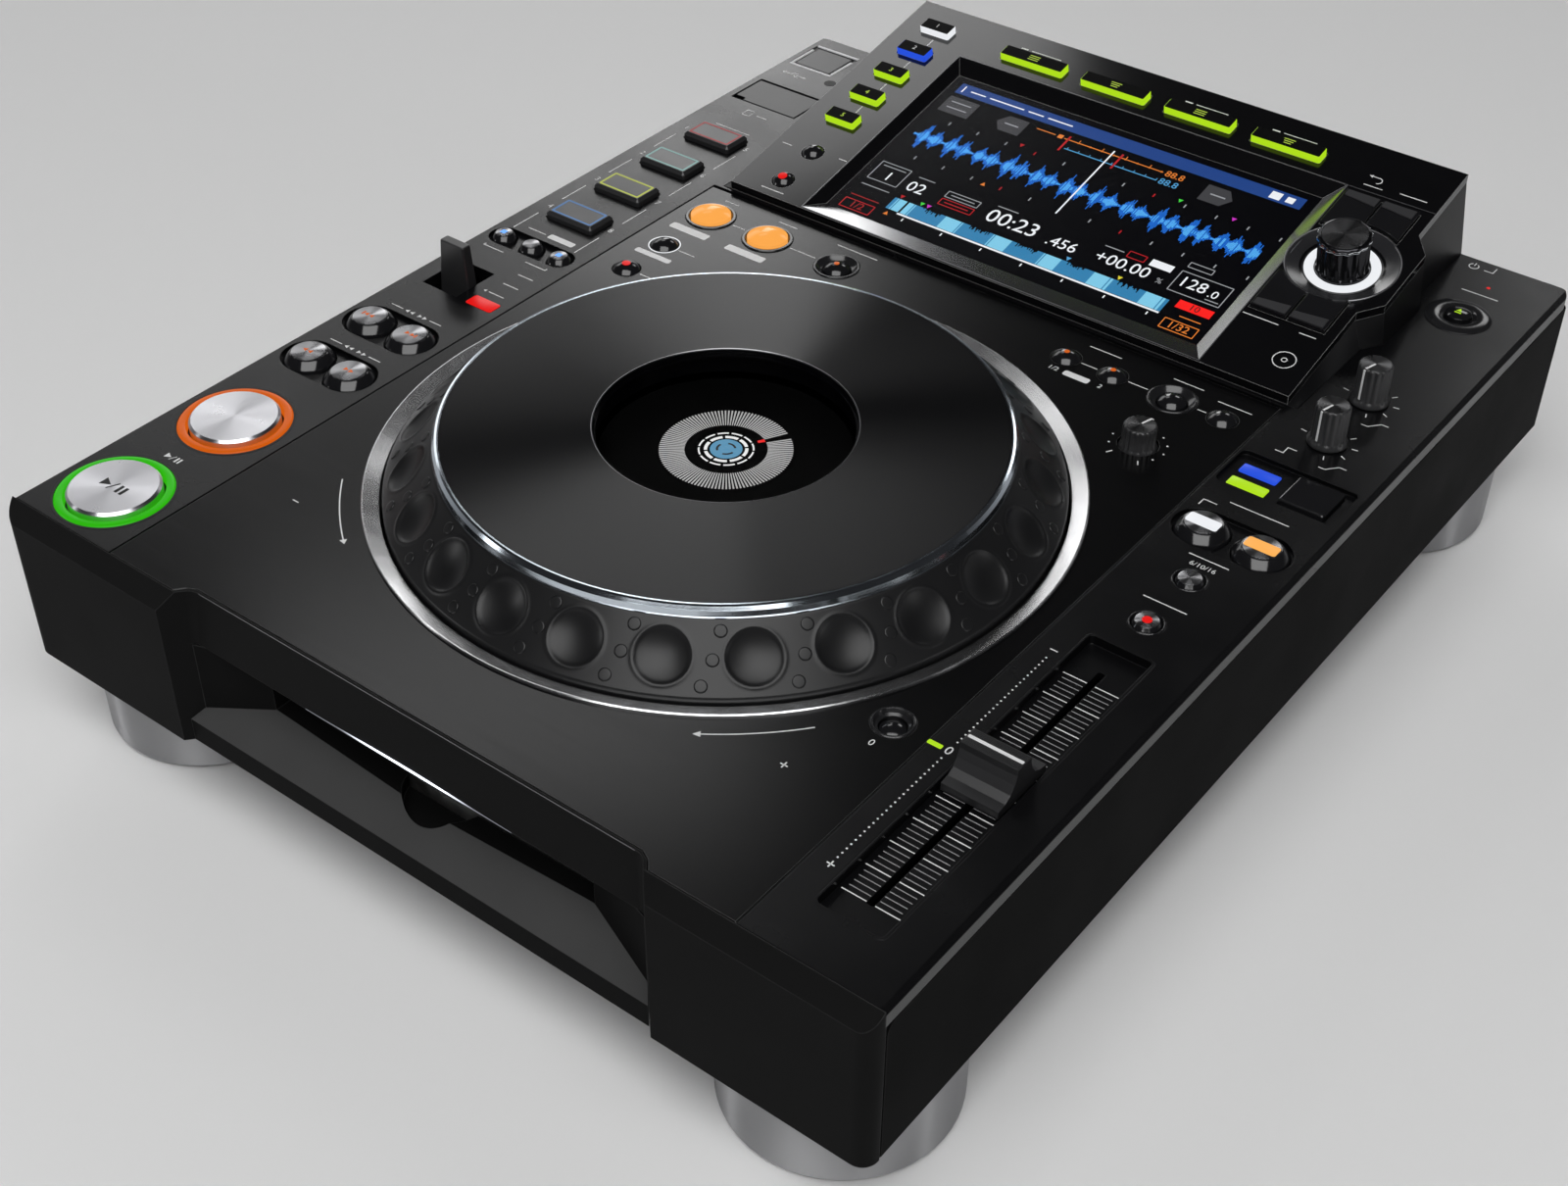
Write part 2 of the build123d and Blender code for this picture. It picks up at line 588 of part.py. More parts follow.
cone_run = jog_r - cone_top_r
cone_rise = cone_top - cone_low
cone_len = math.hypot(cone_run, cone_rise)
cone_n = (cone_rise / cone_len, cone_run / cone_len)
dimple_ball = (dimple_r**2 + dimple_depth**2) / (2 * dimple_depth)
dimple_place = 0.516    # how far up the cone the dimples sit
dimple_at = (
    jog_r - cone_run * dimple_place + cone_n[0] * (dimple_ball - dimple_depth),
    cone_low + cone_rise * dimple_place + cone_n[1] * (dimple_ball - dimple_depth),
)
with BuildPart() as jog_flank:
    spun(
        [
            (jog_r, 78.5),
            (jog_r, cone_low),
            (cone_top_r, cone_top),
            (84.9, cone_top),
            (84.9, 101.4),
            (46.0, 101.4),
            (46.0, 83.0),
            (31.5, 83.0),
            (31.5, 84.5),
            (post_r + bearing_play, 84.5),
            (post_r + bearing_play, 73.0),
            (31.5, 73.0),
            (31.5, 80.5),
            (48.5, 80.5),
            (48.5, 99.2),
            (82.8, 99.2),
            (100.6, 82.4),
            (100.6, 78.5),
        ],
        y=jog_y,
    )
    with Locations((0, jog_y, 0)):
        with PolarLocations(dimple_at[0], dimples, start_angle=-1.5):
            with Locations((0, 0, dimple_at[1])):
                Sphere(dimple_ball, mode=Mode.SUBTRACT)
write(jog_flank, "jog_flank")

with BuildPart() as jog_trim_ring:
    spun(
        [
            (plate_r + 0.2, cone_top),
            (cone_top_r, cone_top),
            (cone_top_r, 100.3),
            (86.9, 101.9),
            (86.1, 102.9),
            (85.4, plate_top),
            (plate_r + 0.2, plate_top),
        ],
        y=jog_y,
    )
write(jog_trim_ring, "jog_trim_ring")

with BuildPart() as jog_top_plate:
    spun(
        [
            (window_r, plate_top),
            (plate_r, plate_top),
            (plate_r, 101.4),
            (43.5, 101.4),
            (43.5, 94.6),
            (window_r, 94.6),
            (window_r, 100.2),
            (38.9, 100.2),
            (38.9, 101.0),
            (window_r, 101.0),
        ],
        y=jog_y,
    )
write(jog_top_plate, "jog_top_plate")

with BuildPart() as jog_window:
    disc(0, jog_y, 101.0, 102.4, window_r)
write(jog_window, "jog_window")

# ---------------------------------------------------------------- left strip controls
for at, name in ((play_at, "play_button"), (cue_at, "cue_button")):
    with BuildPart() as big_button:
        stalk(at[0], at[1], deck_z + 2.0, ring_button_r)
        chamfer(big_button.edges().filter_by(GeomType.CIRCLE).sort_by(Axis.Z)[-1], 0.8)
    write(big_button, name)


def skip_button(x, y, top):
    """Cone-shaped cap with a flat spun top, in a shared oblong recess."""
    stalk(x, y, deck_z - 0.6, search_r, flange=0.65)
    cone(x, y, deck_z - 0.6, deck_z + top, search_r, 5.7)
    disc(x, y, deck_z + top, deck_z + top + 0.3, 5.5)


for pair, name in ((search_at, "search_buttons"), (track_at, "track_buttons"), (sync_at, "sync_buttons")):
    with BuildPart() as skip_pair:
        for x, y in pair:
            skip_button(x, y, 1.9)
    write(skip_pair, name)

with BuildPart() as bank_buttons:
    for x, y in bank_at:
        stalk(x, y, deck_z - 0.6, bank_r)
        cone(x, y, deck_z - 0.6, deck_z + 1.2, bank_r, 3.0)
        disc(x, y, deck_z + 1.2, deck_z + 1.5, 2.6)
write(bank_buttons, "bank_buttons")

for (x, y), letter in zip(hot_cue_at, "abcd"):
    with BuildPart() as hot_cue:
        rounded(x - 10.75, x + 10.75, y - 6.3, y + 6.3, case_low - 1.5, deck_z + 2.6, 1.3)
        top_edges = hot_cue.faces().sort_by(Axis.Z)[-1].edges()
        chamfer(top_edges, 1.1)
        slab(x - 12.0, x + 12.0, y - 7.5, y + 7.5, case_low - 1.5, case_low - 0.4)
        disc(x, y, board_top + press + 0.4, case_low - 1.5, 2.0)
    write(hot_cue, f"hot_cue_{letter}")

# Lever: a slab that narrows to its top, on a cross pin under the case.
with BuildPart() as direction_lever:
    with BuildSketch(Plane.XY.offset(case_low - 6)) as lever_foot:
        with Locations((lever_x, lever_y)):
            RectangleRounded(14.6, 5.4, 0.8)
    with BuildSketch(Plane.XY.offset(98.0)) as lever_tip:
        with Locations((lever_x, lever_y)):
            RectangleRounded(10.8, 3.9, 0.8)
    loft(sections=[lever_foot.sketch.face(), lever_tip.sketch.face()])
    fillet(direction_lever.edges().group_by(Axis.Z)[-1], 0.5)
    slab(lever_x - 4, lever_x + 4, lever_y - 2, lever_y + 2, lever_pivot_z, case_low - 6)
    with Locations((lever_x, lever_y, lever_pivot_z)):
        Cylinder(4.0, 8.0, rotation=(0, 90, 0))
        Cylinder(1.5, 20.0, rotation=(0, 90, 0))
write(direction_lever, "direction_lever")


def lid(builder, xs, ys):
    """Flush door with two hinge pins near its rear edge."""
    rounded(xs[0], xs[1], ys[0], ys[1], deck_z - door_t, deck_z, 0.8)
    chamfer(builder.faces().sort_by(Axis.Z)[-1].edges(), 0.3)
    with Locations(((xs[0] + xs[1]) / 2, ys[1] - hinge_in, deck_z - hinge_down)):
        Cylinder(pin_r, xs[1] - xs[0] + 2.4, rotation=(0, 90, 0))


with BuildPart() as sd_door:
    lid(sd_door, sd_x, sd_y)
    # finger recess at the front left corner
    finger = (sd_x[0] - 1, sd_x[0] + 5.0, sd_y[0] - 1, sd_y[0] + 2.2)
    rounded(*finger, deck_z - door_t, deck_z, 1.0, Mode.SUBTRACT)
write(sd_door, "sd_door")

with BuildPart() as usb_door:
    lid(usb_door, usb_x, usb_y)
write(usb_door, "usb_door")

# ---------------------------------------------------------------- deck controls
with BuildPart() as loop_buttons:
    for x, y in (loop_in_at, loop_out_at):
        stalk(x, y, deck_z + 1.6, loop_r)
        cone(x, y, deck_z + 1.6, deck_z + 3.4, loop_r, 5.4)
write(loop_buttons, "loop_buttons")


def dome(x, y, r, rise, mode=Mode.ADD, plane=Plane.XY, base=deck_z):
    """Spherical cap of radius r and the given rise on a plane at height base."""
    ball = (r * r + rise * rise) / (2 * rise)
    with BuildPart(mode=Mode.PRIVATE) as cap:
        with Locations(plane.location * Location((x, y, base + rise - ball))):
            Sphere(ball)
        with Locations(plane.location * Location((x, y, base))):
            Box(3 * ball, 3 * ball, 3 * ball, align=BASE, mode=Mode.INTERSECT)
    add(cap.part, mode=mode)


def round_button(x, y, r, rise, base=deck_z):
    """Small domed push button."""
    stalk(x, y, base, r)
    dome(x, y, r, rise, base=base)


dished = ((reloop_at, "reloop_button"), (delete_at, "delete_button"))
for at, name in dished:
    with BuildPart() as dished_button:
        round_button(*at, small_r, 2.2, base=deck_z - 0.8)
    write(dished_button, name)

with BuildPart() as loop_cut_slip_buttons:
    for at in (cutter_at, slip_at):
        round_button(*at, small_r, 2.3)
write(loop_cut_slip_buttons, "loop_cut_slip_buttons")

with BuildPart() as call_buttons:
    for at in call_at:
        round_button(*at, small_r, 2.3)
write(call_buttons, "call_buttons")

with BuildPart() as tempo_reset_button:
    round_button(*reset_at, reset_r, 1.2, base=seat_z)
write(tempo_reset_button, "tempo_reset_button")

# Ring inserts: light rings of the two big buttons, and collars of the loop and dished buttons.
with BuildPart() as button_rings:
    for at in (play_at, cue_at):
        disc(at[0], at[1], case_low + 1.6, deck_z + 0.5, light_outer_r)
    top_rims = button_rings.edges().filter_by(GeomType.CIRCLE).group_by(Axis.Z)[-1]
    fillet(top_rims, 0.9)
    for at in (play_at, cue_at):
        disc(at[0], at[1], case_low + 1.6, deck_z + 0.5, light_inner_r, Mode.SUBTRACT)
    for at in (loop_in_at, loop_out_at):
        disc(*at, seat_z, deck_z + 0.5, loop_ring_r - 0.05)
        disc(*at, seat_z, deck_z + 0.5, loop_r + gap, Mode.SUBTRACT)
    for at in (reloop_at, delete_at):
        disc(*at, seat_z, deck_z + 0.4, dish_r - 0.05)
        cone(*at, deck_z - 1.3, deck_z + 0.45, small_r + gap, dish_r - 0.9, Mode.SUBTRACT)
        disc(*at, seat_z, deck_z, small_r + gap, Mode.SUBTRACT)
    disc(*reset_at, seat_z, deck_z + 0.3, 6.25)
    cone(*reset_at, deck_z - 1.4, deck_z + 0.35, reset_r + gap, 5.6, Mode.SUBTRACT)
    disc(*reset_at, seat_z, deck_z, reset_r + gap, Mode.SUBTRACT)
    # domed ring round the eject button
    with Locations((*eject_at, deck_z - 4.0)):
        Torus(7.9, 4.6)
    disc(*eject_at, deck_z - 12, deck_z, 14.0, Mode.SUBTRACT)
    disc(*eject_at, deck_z, deck_z + 0.5, 11.2)
    disc(*eject_at, deck_z, deck_z + 4, eject_r + gap, Mode.SUBTRACT)
write(button_rings, "button_rings")


def fluted_knob(x, y, z0, z1, r0, r1, flutes, plane=Plane.XY, depth=0.45):
    """Knob with a flared skirt and grip flutes down its side."""
    skirt = 1.8
    cone(x, y, z0, z0 + skirt, r0, r1, plane=plane)
    disc(x, y, z0 + skirt, z1, r1, plane=plane)
    flute_r = 0.4 * math.pi * r1 / flutes
    reach = r1 - depth + flute_r
    for i in range(flutes):
        angle = 2 * math.pi * i / flutes
        fx = x + reach * math.cos(angle)
        fy = y + reach * math.sin(angle)
        disc(fx, fy, z0 + skirt, z1, flute_r, Mode.SUBTRACT, plane)


with BuildPart() as jog_adjust_knob:
    fluted_knob(*adjust_at, seat_z + 0.4, deck_z + 7.4, knob_r, 5.4, 20)
    disc(*adjust_at, 75.0, seat_z + 0.4, 3.0)
    disc(*adjust_at, case_low - 2.4, case_low - 1.4, 4.6)
write(jog_adjust_knob, "jog_adjust_knob")

for at, name in ((release_at, "release_speed_knob"), (start_at, "start_speed_knob")):
    with BuildPart() as tall_knob:
        fluted_knob(*at, deck_z + 0.4, deck_z + 14.0, 6.4, 5.5, 20)
        disc(*at, 75.0, deck_z + 0.4, 3.0)
        disc(*at, case_low - 1.6, case_low - 0.5, 4.6)
    write(tall_knob, name)

# ---------------------------------------------------------------- right strip controls
with BuildPart() as eject_button:
    round_button(*eject_at, eject_r, 0.8, base=deck_z + 1.4)
write(eject_button, "eject_button")

with BuildPart() as jog_mode_button:
    x, y = mode_at
    rounded(x - 7.5, x + 7.5, y - 7.2, y + 7.2, case_low - 1.5, deck_z + 0.4, 0.8)
    chamfer(jog_mode_button.faces().sort_by(Axis.Z)[-1].edges(), 0.4)
    slab(x - 8.7, x + 8.7, y - 8.4, y + 8.4, case_low - 1.5, case_low - 0.4)
    disc(x, y, board_top + press + 0.4, case_low - 1.5, 2.0)
write(jog_mode_button, "jog_mode_button")

with BuildPart() as tempo_buttons:
    for x, y in tempo_at:
        stalk(x, y, deck_z - 0.2, tempo_r)
        cone(x, y, deck_z - 0.2, deck_z + 0.8, tempo_r, 3.5)
write(tempo_buttons, "tempo_buttons")

# Fader: a sunk track with a slot, a rail below it, and a cap on a stem.
track_floor = deck_z - 3.0
fader_mid_x = right_x
rail_z = (66.0, case_low)
with BuildPart() as fader_track:
    rounded(*fader_x, *fader_y_ends, case_low, deck_z, 2.0)
    channel = (fader_x[0] + 0.8, fader_x[1] - 0.8, fader_y_ends[0] + 0.8, fader_y_ends[1] - 0.8)
    rounded(*channel, track_floor, deck_z, 1.4, Mode.SUBTRACT)
    slab(fader_mid_x - 6, fader_mid_x + 6, fader_y - 62, fader_y + 62, *rail_z)
    rail_y = (fader_y - 60, fader_y + 60)
    slab(fader_mid_x - 4, fader_mid_x + 4, *rail_y, rail_z[0] + 1.5, case_low - 1.0, Mode.SUBTRACT)
    stem_y = (fader_y - 54, fader_y + 54)
    slab(fader_mid_x - 1.1, fader_mid_x + 1.1, *stem_y, rail_z[1] - 2, track_floor, Mode.SUBTRACT)
write(fader_track, "fader_track")

cap_w = 17.6
cap_front = [
    (11.2, -2.2),
    (11.2, 0.3),
    (8.2, 0.7),
    (5.8, 2.0),
    (4.2, 4.2),
    (3.3, 6.8),
    (3.15, 8.8),
]
cap_profile = [(-dy, dz) for dy, dz in cap_front] + cap_front[::-1]
with BuildPart() as tempo_fader:
    with BuildSketch(Plane.YZ.offset(fader_mid_x - cap_w / 2)) as cap_side:
        with BuildLine():
            Polyline(*[(fader_y + dy, deck_z + dz) for dy, dz in cap_profile], close=True)
        make_face()
    extrude(cap_side.sketch, amount=cap_w)
    slab(fader_mid_x - 0.75, fader_mid_x + 0.75, fader_y - 3.5, fader_y + 3.5, 74.0, deck_z)
    slab(fader_mid_x - 3.6, fader_mid_x + 3.6, fader_y - 8, fader_y + 8, 69.0, 74.0)
write(tempo_fader, "tempo_fader")

# ---------------------------------------------------------------- display housing
bulge = [(167.2, 0.0), (159.2, 1.0), (131.7, 1.0), (124.3, 0.0)]


def housing_outline(grow):
    """Plan outline of the housing, let out by grow at the sides; the right side steps out."""
    right = [(panel_right + k * (panel_bulge - panel_right) + grow * (1 - k / 2), y) for y, k in bulge]
    return [
        (panel_left - grow, half_d),
        (panel_right + grow, half_d),
        *right,
        (panel_right + grow, panel_front),
        (panel_left - grow, panel_front),
    ]


def on_panel(points, depth=0.0):
    """The same plan outline drawn on the tilted panel, depth below its face."""
    lean = depth * math.tan(math.radians(tilt))
    local = [(x, -panel_v(y) - lean) for x, y in points]
    with BuildSketch(panel_plane.offset(-depth)) as outline:
        with BuildLine():
            Polyline(*local, close=True)
        make_face()
    return outline.sketch.face()


def on_deck(points):
    with BuildSketch(Plane.XY.offset(deck_z)) as outline:
        with BuildLine():
            Polyline(*points, close=True)
        make_face()
    return outline.sketch.face()


def inset(points, by):
    """Draw the outline in by the wall thickness on every side."""
    mid_x = (panel_left + panel_right) / 2
    mid_y = (half_d + panel_front) / 2
    return [(x - by * math.copysign(1, x - mid_x), y - by * math.copysign(1, y - mid_y)) for x, y in points]


with BuildPart() as display_housing:
    loft(sections=[on_deck(housing_outline(wall_flare)), on_panel(housing_outline(0), panel_t)], ruled=True)
    inner_foot = on_deck(inset(housing_outline(wall_flare), wall_t))
    inner_top = on_panel(inset(housing_outline(0), wall_t), panel_t)
    loft(sections=[inner_foot, inner_top], ruled=True, mode=Mode.SUBTRACT)
write(display_housing, "display_housing")

screen_out = (-77.5, 83.5, -124.2, -24.0)
screen_in = (-73.0, 78.0, -115.8, -31.0)
selector_at = (101.05, -60.7)
selector_r = 8.8
selector_dish = (18.7, 12.7, 2.0)
menu_at = [(-49.75 + 35.25 * i, -15.1) for i in range(4)]
source_at = [(-93.8, -14.6 - 15.5 * i) for i in range(5)]
panel_button_at = [(-92.5, -97.5), (-92.5, -115.5)]
fan_x = 98.5
fan_half_w = 13.4
fan_inner_r = 20.0
menu_key = (26.9, 5.9)
source_key = (12.8, 6.1)
key_rise = 2.4

with BuildPart() as display_panel:
    loft(sections=[on_panel(housing_outline(0)), on_panel(housing_outline(0), panel_t)], ruled=True)
    # bevelled frame round the screen
    sections = []
    for (x0, x1, y0, y1), depth in ((screen_out, -0.01), (screen_in, panel_t + 0.01)):
        with BuildSketch(panel_plane.offset(-depth)) as frame:
            with Locations(((x0 + x1) / 2, (y0 + y1) / 2)):
                Rectangle(x1 - x0, y1 - y0)
        sections.append(frame.sketch.face())
    loft(sections=sections, ruled=True, mode=Mode.SUBTRACT)
    # dish round the rotary selector
    x, y = selector_at
    cone(x, y, -selector_dish[2], 0.01, selector_dish[1], selector_dish[0], Mode.SUBTRACT, panel_plane)
    disc(x, y, -panel_t - 1, 1, 3.0 + bearing_play, Mode.SUBTRACT, panel_plane)
    for at, (w, h) in [(p, menu_key) for p in menu_at] + [(p, source_key) for p in source_at]:
        w, h = w / 2 + gap, h / 2 + gap
        hole = (at[0] - w, at[0] + w, at[1] - h, at[1] + h)
        rounded(*hole, -panel_t - 0.5, 0.5, 0.8, Mode.SUBTRACT, panel_plane)
    for x, y in panel_button_at:
        disc(x, y, -panel_t - 0.5, 0.5, 4.0 + gap, Mode.SUBTRACT, panel_plane)
    for x in (-1, 1):
        for y in (-1, 1):
            x0, x1 = sorted((fan_x + x * 0.15, fan_x + x * (fan_half_w + gap)))
            y0, y1 = sorted((selector_at[1] + y * (fan_inner_r - 6), selector_at[1] + y * (33.3 + gap)))
            with BuildPart(mode=Mode.PRIVATE) as fan_hole:
                slab(x0, x1, y0, y1, -panel_t - 0.5, 0.5, plane=panel_plane)
                disc(*selector_at, -panel_t - 1, 1, fan_inner_r - gap, Mode.SUBTRACT, panel_plane)
            add(fan_hole.part, mode=Mode.SUBTRACT)
write(display_panel, "display_panel")

with BuildPart() as touch_screen:
    x0, x1, y0, y1 = screen_in
    slab(x0 - 1.5, x1 + 1.5, y0 - 1.5, y1 + 1.5, -panel_t - 2.6, -panel_t, plane=panel_plane)
write(touch_screen, "touch_screen")


def key_row(places, size):
    """A row of flat keys on the tilted panel, each on its own flange and plunger."""
    w, h = size[0] / 2, size[1] / 2
    foot = -panel_t - 1.5
    for x, y in places:
        rounded(x - w, x + w, y - h, y + h, foot, key_rise, 0.7, plane=panel_plane)
        slab(x - w - 1, x + w + 1, y - h - 1, y + h + 1, foot, foot + 1.1, plane=panel_plane)


with BuildPart() as menu_keys:
    key_row(menu_at, menu_key)
write(menu_keys, "menu_keys")

with BuildPart() as source_keys:
    key_row(source_at, source_key)
write(source_keys, "source_keys")

with BuildPart() as panel_buttons:
    for x, y in panel_button_at:
        disc(x, y, -panel_t - 1.5, 0, 4.0, plane=panel_plane)
        disc(x, y, -panel_t - 1.5, -panel_t - 0.4, 5.2, plane=panel_plane)
        dome(x, y, 4.0, 2.2, plane=panel_plane, base=0.0)
write(panel_buttons, "panel_buttons")

with BuildPart() as selector_keys:
    for x in (-1, 1):
        for y in (-1, 1):
            x0, x1 = sorted((fan_x + x * 0.5, fan_x + x * fan_half_w))
            y0, y1 = sorted((selector_at[1] + y * (fan_inner_r - 6), selector_at[1] + y * 33.3))
            with BuildPart(mode=Mode.PRIVATE) as fan_key:
                slab(x0, x1, y0, y1, -panel_t - 1.5, 1.5, plane=panel_plane)
                disc(*selector_at, -panel_t - 2, 2, fan_inner_r, Mode.SUBTRACT, panel_plane)
            add(fan_key.part)
write(selector_keys, "selector_keys")

with BuildPart() as rotary_selector:
    x, y = selector_at
    fluted_knob(x, y, -1.6, 12.5, selector_r + 0.4, selector_r, 16, panel_plane, 0.7)
    disc(x, y, -10.0, -1.6, 3.0, plane=panel_plane)
write(rotary_selector, "rotary_selector")

# ---------------------------------------------------------------- boards and drive
board_t = 1.6
display_board = (-102.0, 108.0, -118.5, -8.0)
display_board_z = 8.0   # depth under the panel's face
standoff_at = [
    (-121.5, -193.0),
    (-121.5, -154.0),
    (-121.5, -111.0),
    (-121.5, -38.0),
    (-121.5, 18.0),
    (-121.5, 68.0),
    (-121.5, 113.0),
    (-60.3, 60.0),
    (0.0, 66.0),
    (30.0, 66.0),
    (95.0, 58.0),
    (122.0, -46.0),
    (148.0, -46.0),
    (122.0, 28.0),
    (122.0, 66.0),
    (122.0, 172.0),
    (145.5, 120.0),
    (110.6, -122.0),
]
with BuildPart() as circuit_boards:
    low = board_top - board_t
    slab(-148.2, -119.0, -196.0, -32.0, low, board_top)
    slab(-148.2, -119.0, 0.0, 116.0, low, board_top)
    slab(119.0, 150.0, -50.0, 52.0, low, board_top)
    slab(-113.5, 113.5, 54.5, 75.0, low, board_top)
    slab(-113.5, -97.0, 8.0, 54.5, low, board_top)
    slab(119.0, 148.0, 62.0, 176.0, low, board_top)
    slab(99.8, 112.5, -124.0, -110.0, low, board_top)
    for x, y in standoff_at:
        disc(x, y, board_top, case_low, 1.8)
    slab(*display_board, -display_board_z - board_t, -display_board_z, plane=panel_plane)
    disc(*selector_at, -display_board_z - board_t - 1, 0, 3.8, Mode.SUBTRACT, panel_plane)
    for x, y in ((-84, -20), (-32, -9.5), (38, -9.5), (80, -20), (-84, -110), (88, -110)):
        disc(x, y, -display_board_z, -panel_t, 1.8, plane=panel_plane)
    slab(adjust_at[0] - 7, adjust_at[0] + 7, 26.0, 54.5, low, board_top)
    # main board and power supply on the pan
    slab(-147.5, -76, -140, 60, 38.0, 39.6)
    slab(-140, -120, -60, -30, 39.6, 46.0)
    slab(-110, -90, -100, -60, 39.6, 42.5)
    slab(76, 147.5, -100, 100, 38.0, 39.6)
    slab(84, 104, 10, 40, 39.6, 58.0)
    for i in range(4):
        disc(118 + 8 * (i % 2), -20 + 14 * i, 39.6, 56.0, 5.0)
    for x, y0, y1 in ((-143, -135, 55), (-81, -135, 55), (81, -95, 95), (143, -95, 95)):
        disc(x, y0, pan_z + pan_t, 38.0, 2.5)
        disc(x, y1, pan_z + pan_t, 38.0, 2.5)
write(circuit_boards, "circuit_boards")

# Slot-in drive: a tray with a slot at the front, a roller bed, a turntable and a sled on rods.
drive_x = 68.0
drive_y = (-183.6, -38.0)
drive_z = (34.5, 66.5)
with BuildPart() as drive_chassis:
    slab(-drive_x, drive_x, *drive_y, *drive_z)
    inside_y = (drive_y[0] + 2, drive_y[1] - 2)
    slab(-drive_x + 2, drive_x - 2, *inside_y, drive_z[0] + 2, drive_z[1] - 2, Mode.SUBTRACT)
    slab(-slot_half_w, slot_half_w, drive_y[0] - 1, drive_y[0] + 3, 49.6, 56.0, Mode.SUBTRACT)
    for y in (-130.0, -90.0):
        with Locations((0, y, 42.0)):
            Cylinder(1.5, 2 * drive_x - 4, rotation=(0, 90, 0))
    for side in (-1, 1):
        x0, x1 = sorted((side * 62.0, side * 66.0))
        slab(x0, x1, -178, -170, drive_z[0] + 2, 50.0)
        with Locations((side * 64, -174, 45.5)):
            Cylinder(2.0 + bearing_play, 6, rotation=(0, 90, 0), mode=Mode.SUBTRACT)
    for x, y in ((-60, -60), (60, -60), (-60, -160), (60, -160)):
        disc(x, y, pan_z + pan_t, drive_z[0], 4.0)
    slab(-14, 14, -124, -96, drive_z[0] + 2, 38.6)
    disc(0, -110, 36.5, 38.6, 3.0 + bearing_play, Mode.SUBTRACT)
write(drive_chassis, "drive_chassis")

with BuildPart() as loading_roller:
    with Locations((0, -174, 45.5)):
        Cylinder(2.0, 131.0, rotation=(0, 90, 0))
    with Locations((-31, -174, 45.5)):
        Cone(4.6, 3.2, 58, rotation=(0, 90, 0))
    with Locations((31, -174, 45.5)):
        Cone(3.2, 4.6, 58, rotation=(0, 90, 0))
write(loading_roller, "loading_roller")

with BuildPart() as disc_turntable:
    disc(0, -110, 36.9, 44.0, 3.0)
    disc(0, -110, 44.0, 47.5, 15.0)
    cone(0, -110, 47.5, 50.5, 7.4, 5.6)
write(disc_turntable, "disc_turntable")

# Pickup on its two guide rods, to the right of the turntable.
with BuildPart() as laser_sled:
    slab(22, 40, -134, -86, 39.0, 45.0)
    for y in (-130.0, -90.0):
        with Locations((31, y, 42.0)):
            Cylinder(1.5 + bearing_play, 24, rotation=(0, 90, 0), mode=Mode.SUBTRACT)
    disc(31, -110, 45.0, 47.2, 4.0)
write(laser_sled, "laser_sled")

with BuildPart() as screws:
    for x, y in post_at:
        disc(x, y, pan_z - 1.8, pan_z, 2.8)
        disc(x, y, pan_z, 54.0, 1.3)
write(screws, "screws")
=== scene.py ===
import math
import random

import bmesh
import bpy
from mathutils import Matrix, Quaternion, Vector

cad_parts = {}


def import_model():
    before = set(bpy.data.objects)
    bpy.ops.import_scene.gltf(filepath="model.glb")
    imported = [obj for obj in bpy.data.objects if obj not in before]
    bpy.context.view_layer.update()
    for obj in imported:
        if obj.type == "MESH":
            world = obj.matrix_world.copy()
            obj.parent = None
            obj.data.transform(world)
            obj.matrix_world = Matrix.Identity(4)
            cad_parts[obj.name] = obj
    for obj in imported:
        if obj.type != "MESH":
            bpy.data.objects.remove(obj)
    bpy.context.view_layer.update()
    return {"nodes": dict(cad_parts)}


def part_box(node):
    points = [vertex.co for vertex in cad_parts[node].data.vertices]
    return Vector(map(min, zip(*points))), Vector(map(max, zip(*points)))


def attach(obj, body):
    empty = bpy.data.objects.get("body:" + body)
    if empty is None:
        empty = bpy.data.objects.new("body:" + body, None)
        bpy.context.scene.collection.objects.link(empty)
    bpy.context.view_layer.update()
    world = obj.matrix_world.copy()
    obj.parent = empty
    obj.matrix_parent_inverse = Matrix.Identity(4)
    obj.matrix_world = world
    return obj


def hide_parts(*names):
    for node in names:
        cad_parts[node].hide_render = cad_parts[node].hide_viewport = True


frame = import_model()
nodes = frame["nodes"]

MM = 0.001


# ------------------------------------------------------------------ places taken from the frame (mm)
def box(node):
    """Low and high corner of a CAD node."""
    return [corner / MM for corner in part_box(node)]


def top(node):
    return box(node)[1].z


def middle(node):
    """Centre of a CAD node in plan."""
    low, high = box(node)
    return (low.x + high.x) / 2, (low.y + high.y) / 2


def pair(node):
    """Centres of two like buttons that share a node and stand side by side."""
    low, high = box(node)
    r, y = (high.y - low.y) / 2, (low.y + high.y) / 2
    return [(low.x + r, y), (high.x - r, y)]


def pile(node):
    """Centres of two like buttons that share a node, the rear one first."""
    low, high = box(node)
    r, x = (high.x - low.x) / 2, (low.x + high.x) / 2
    return [(x, high.y - r), (x, low.y + r)]


deck_z = top("deck_plate")
jog_low, jog_high = box("jog_flank")
jog_y = (jog_low.y + jog_high.y) / 2
jog_r = (jog_high.x - jog_low.x) / 2
display_z = top("jog_display")
plate_z = top("jog_top_plate")
panel_high = box("display_panel")[1]
PANEL_TILT = math.radians(12.2)
PANEL = Matrix.Translation((0, panel_high.y, panel_high.z)) @ Matrix.Rotation(PANEL_TILT, 4, "X")
DIAL = Matrix.Translation((0, jog_y, 0))
FLAT = Matrix.Identity(4)
FOOT_R, PAD_R, PAD_TOP = 34.0, 28.8, 2.99
LIP_MOUTH_Y = -190.0

# print stands this far into and above the surface that carries it
SUNK, PROUD = -0.03, 0.05


# ------------------------------------------------------------------ materials
# by name; the CAD nodes bring materials of their own, some with the same names
finishes = {}


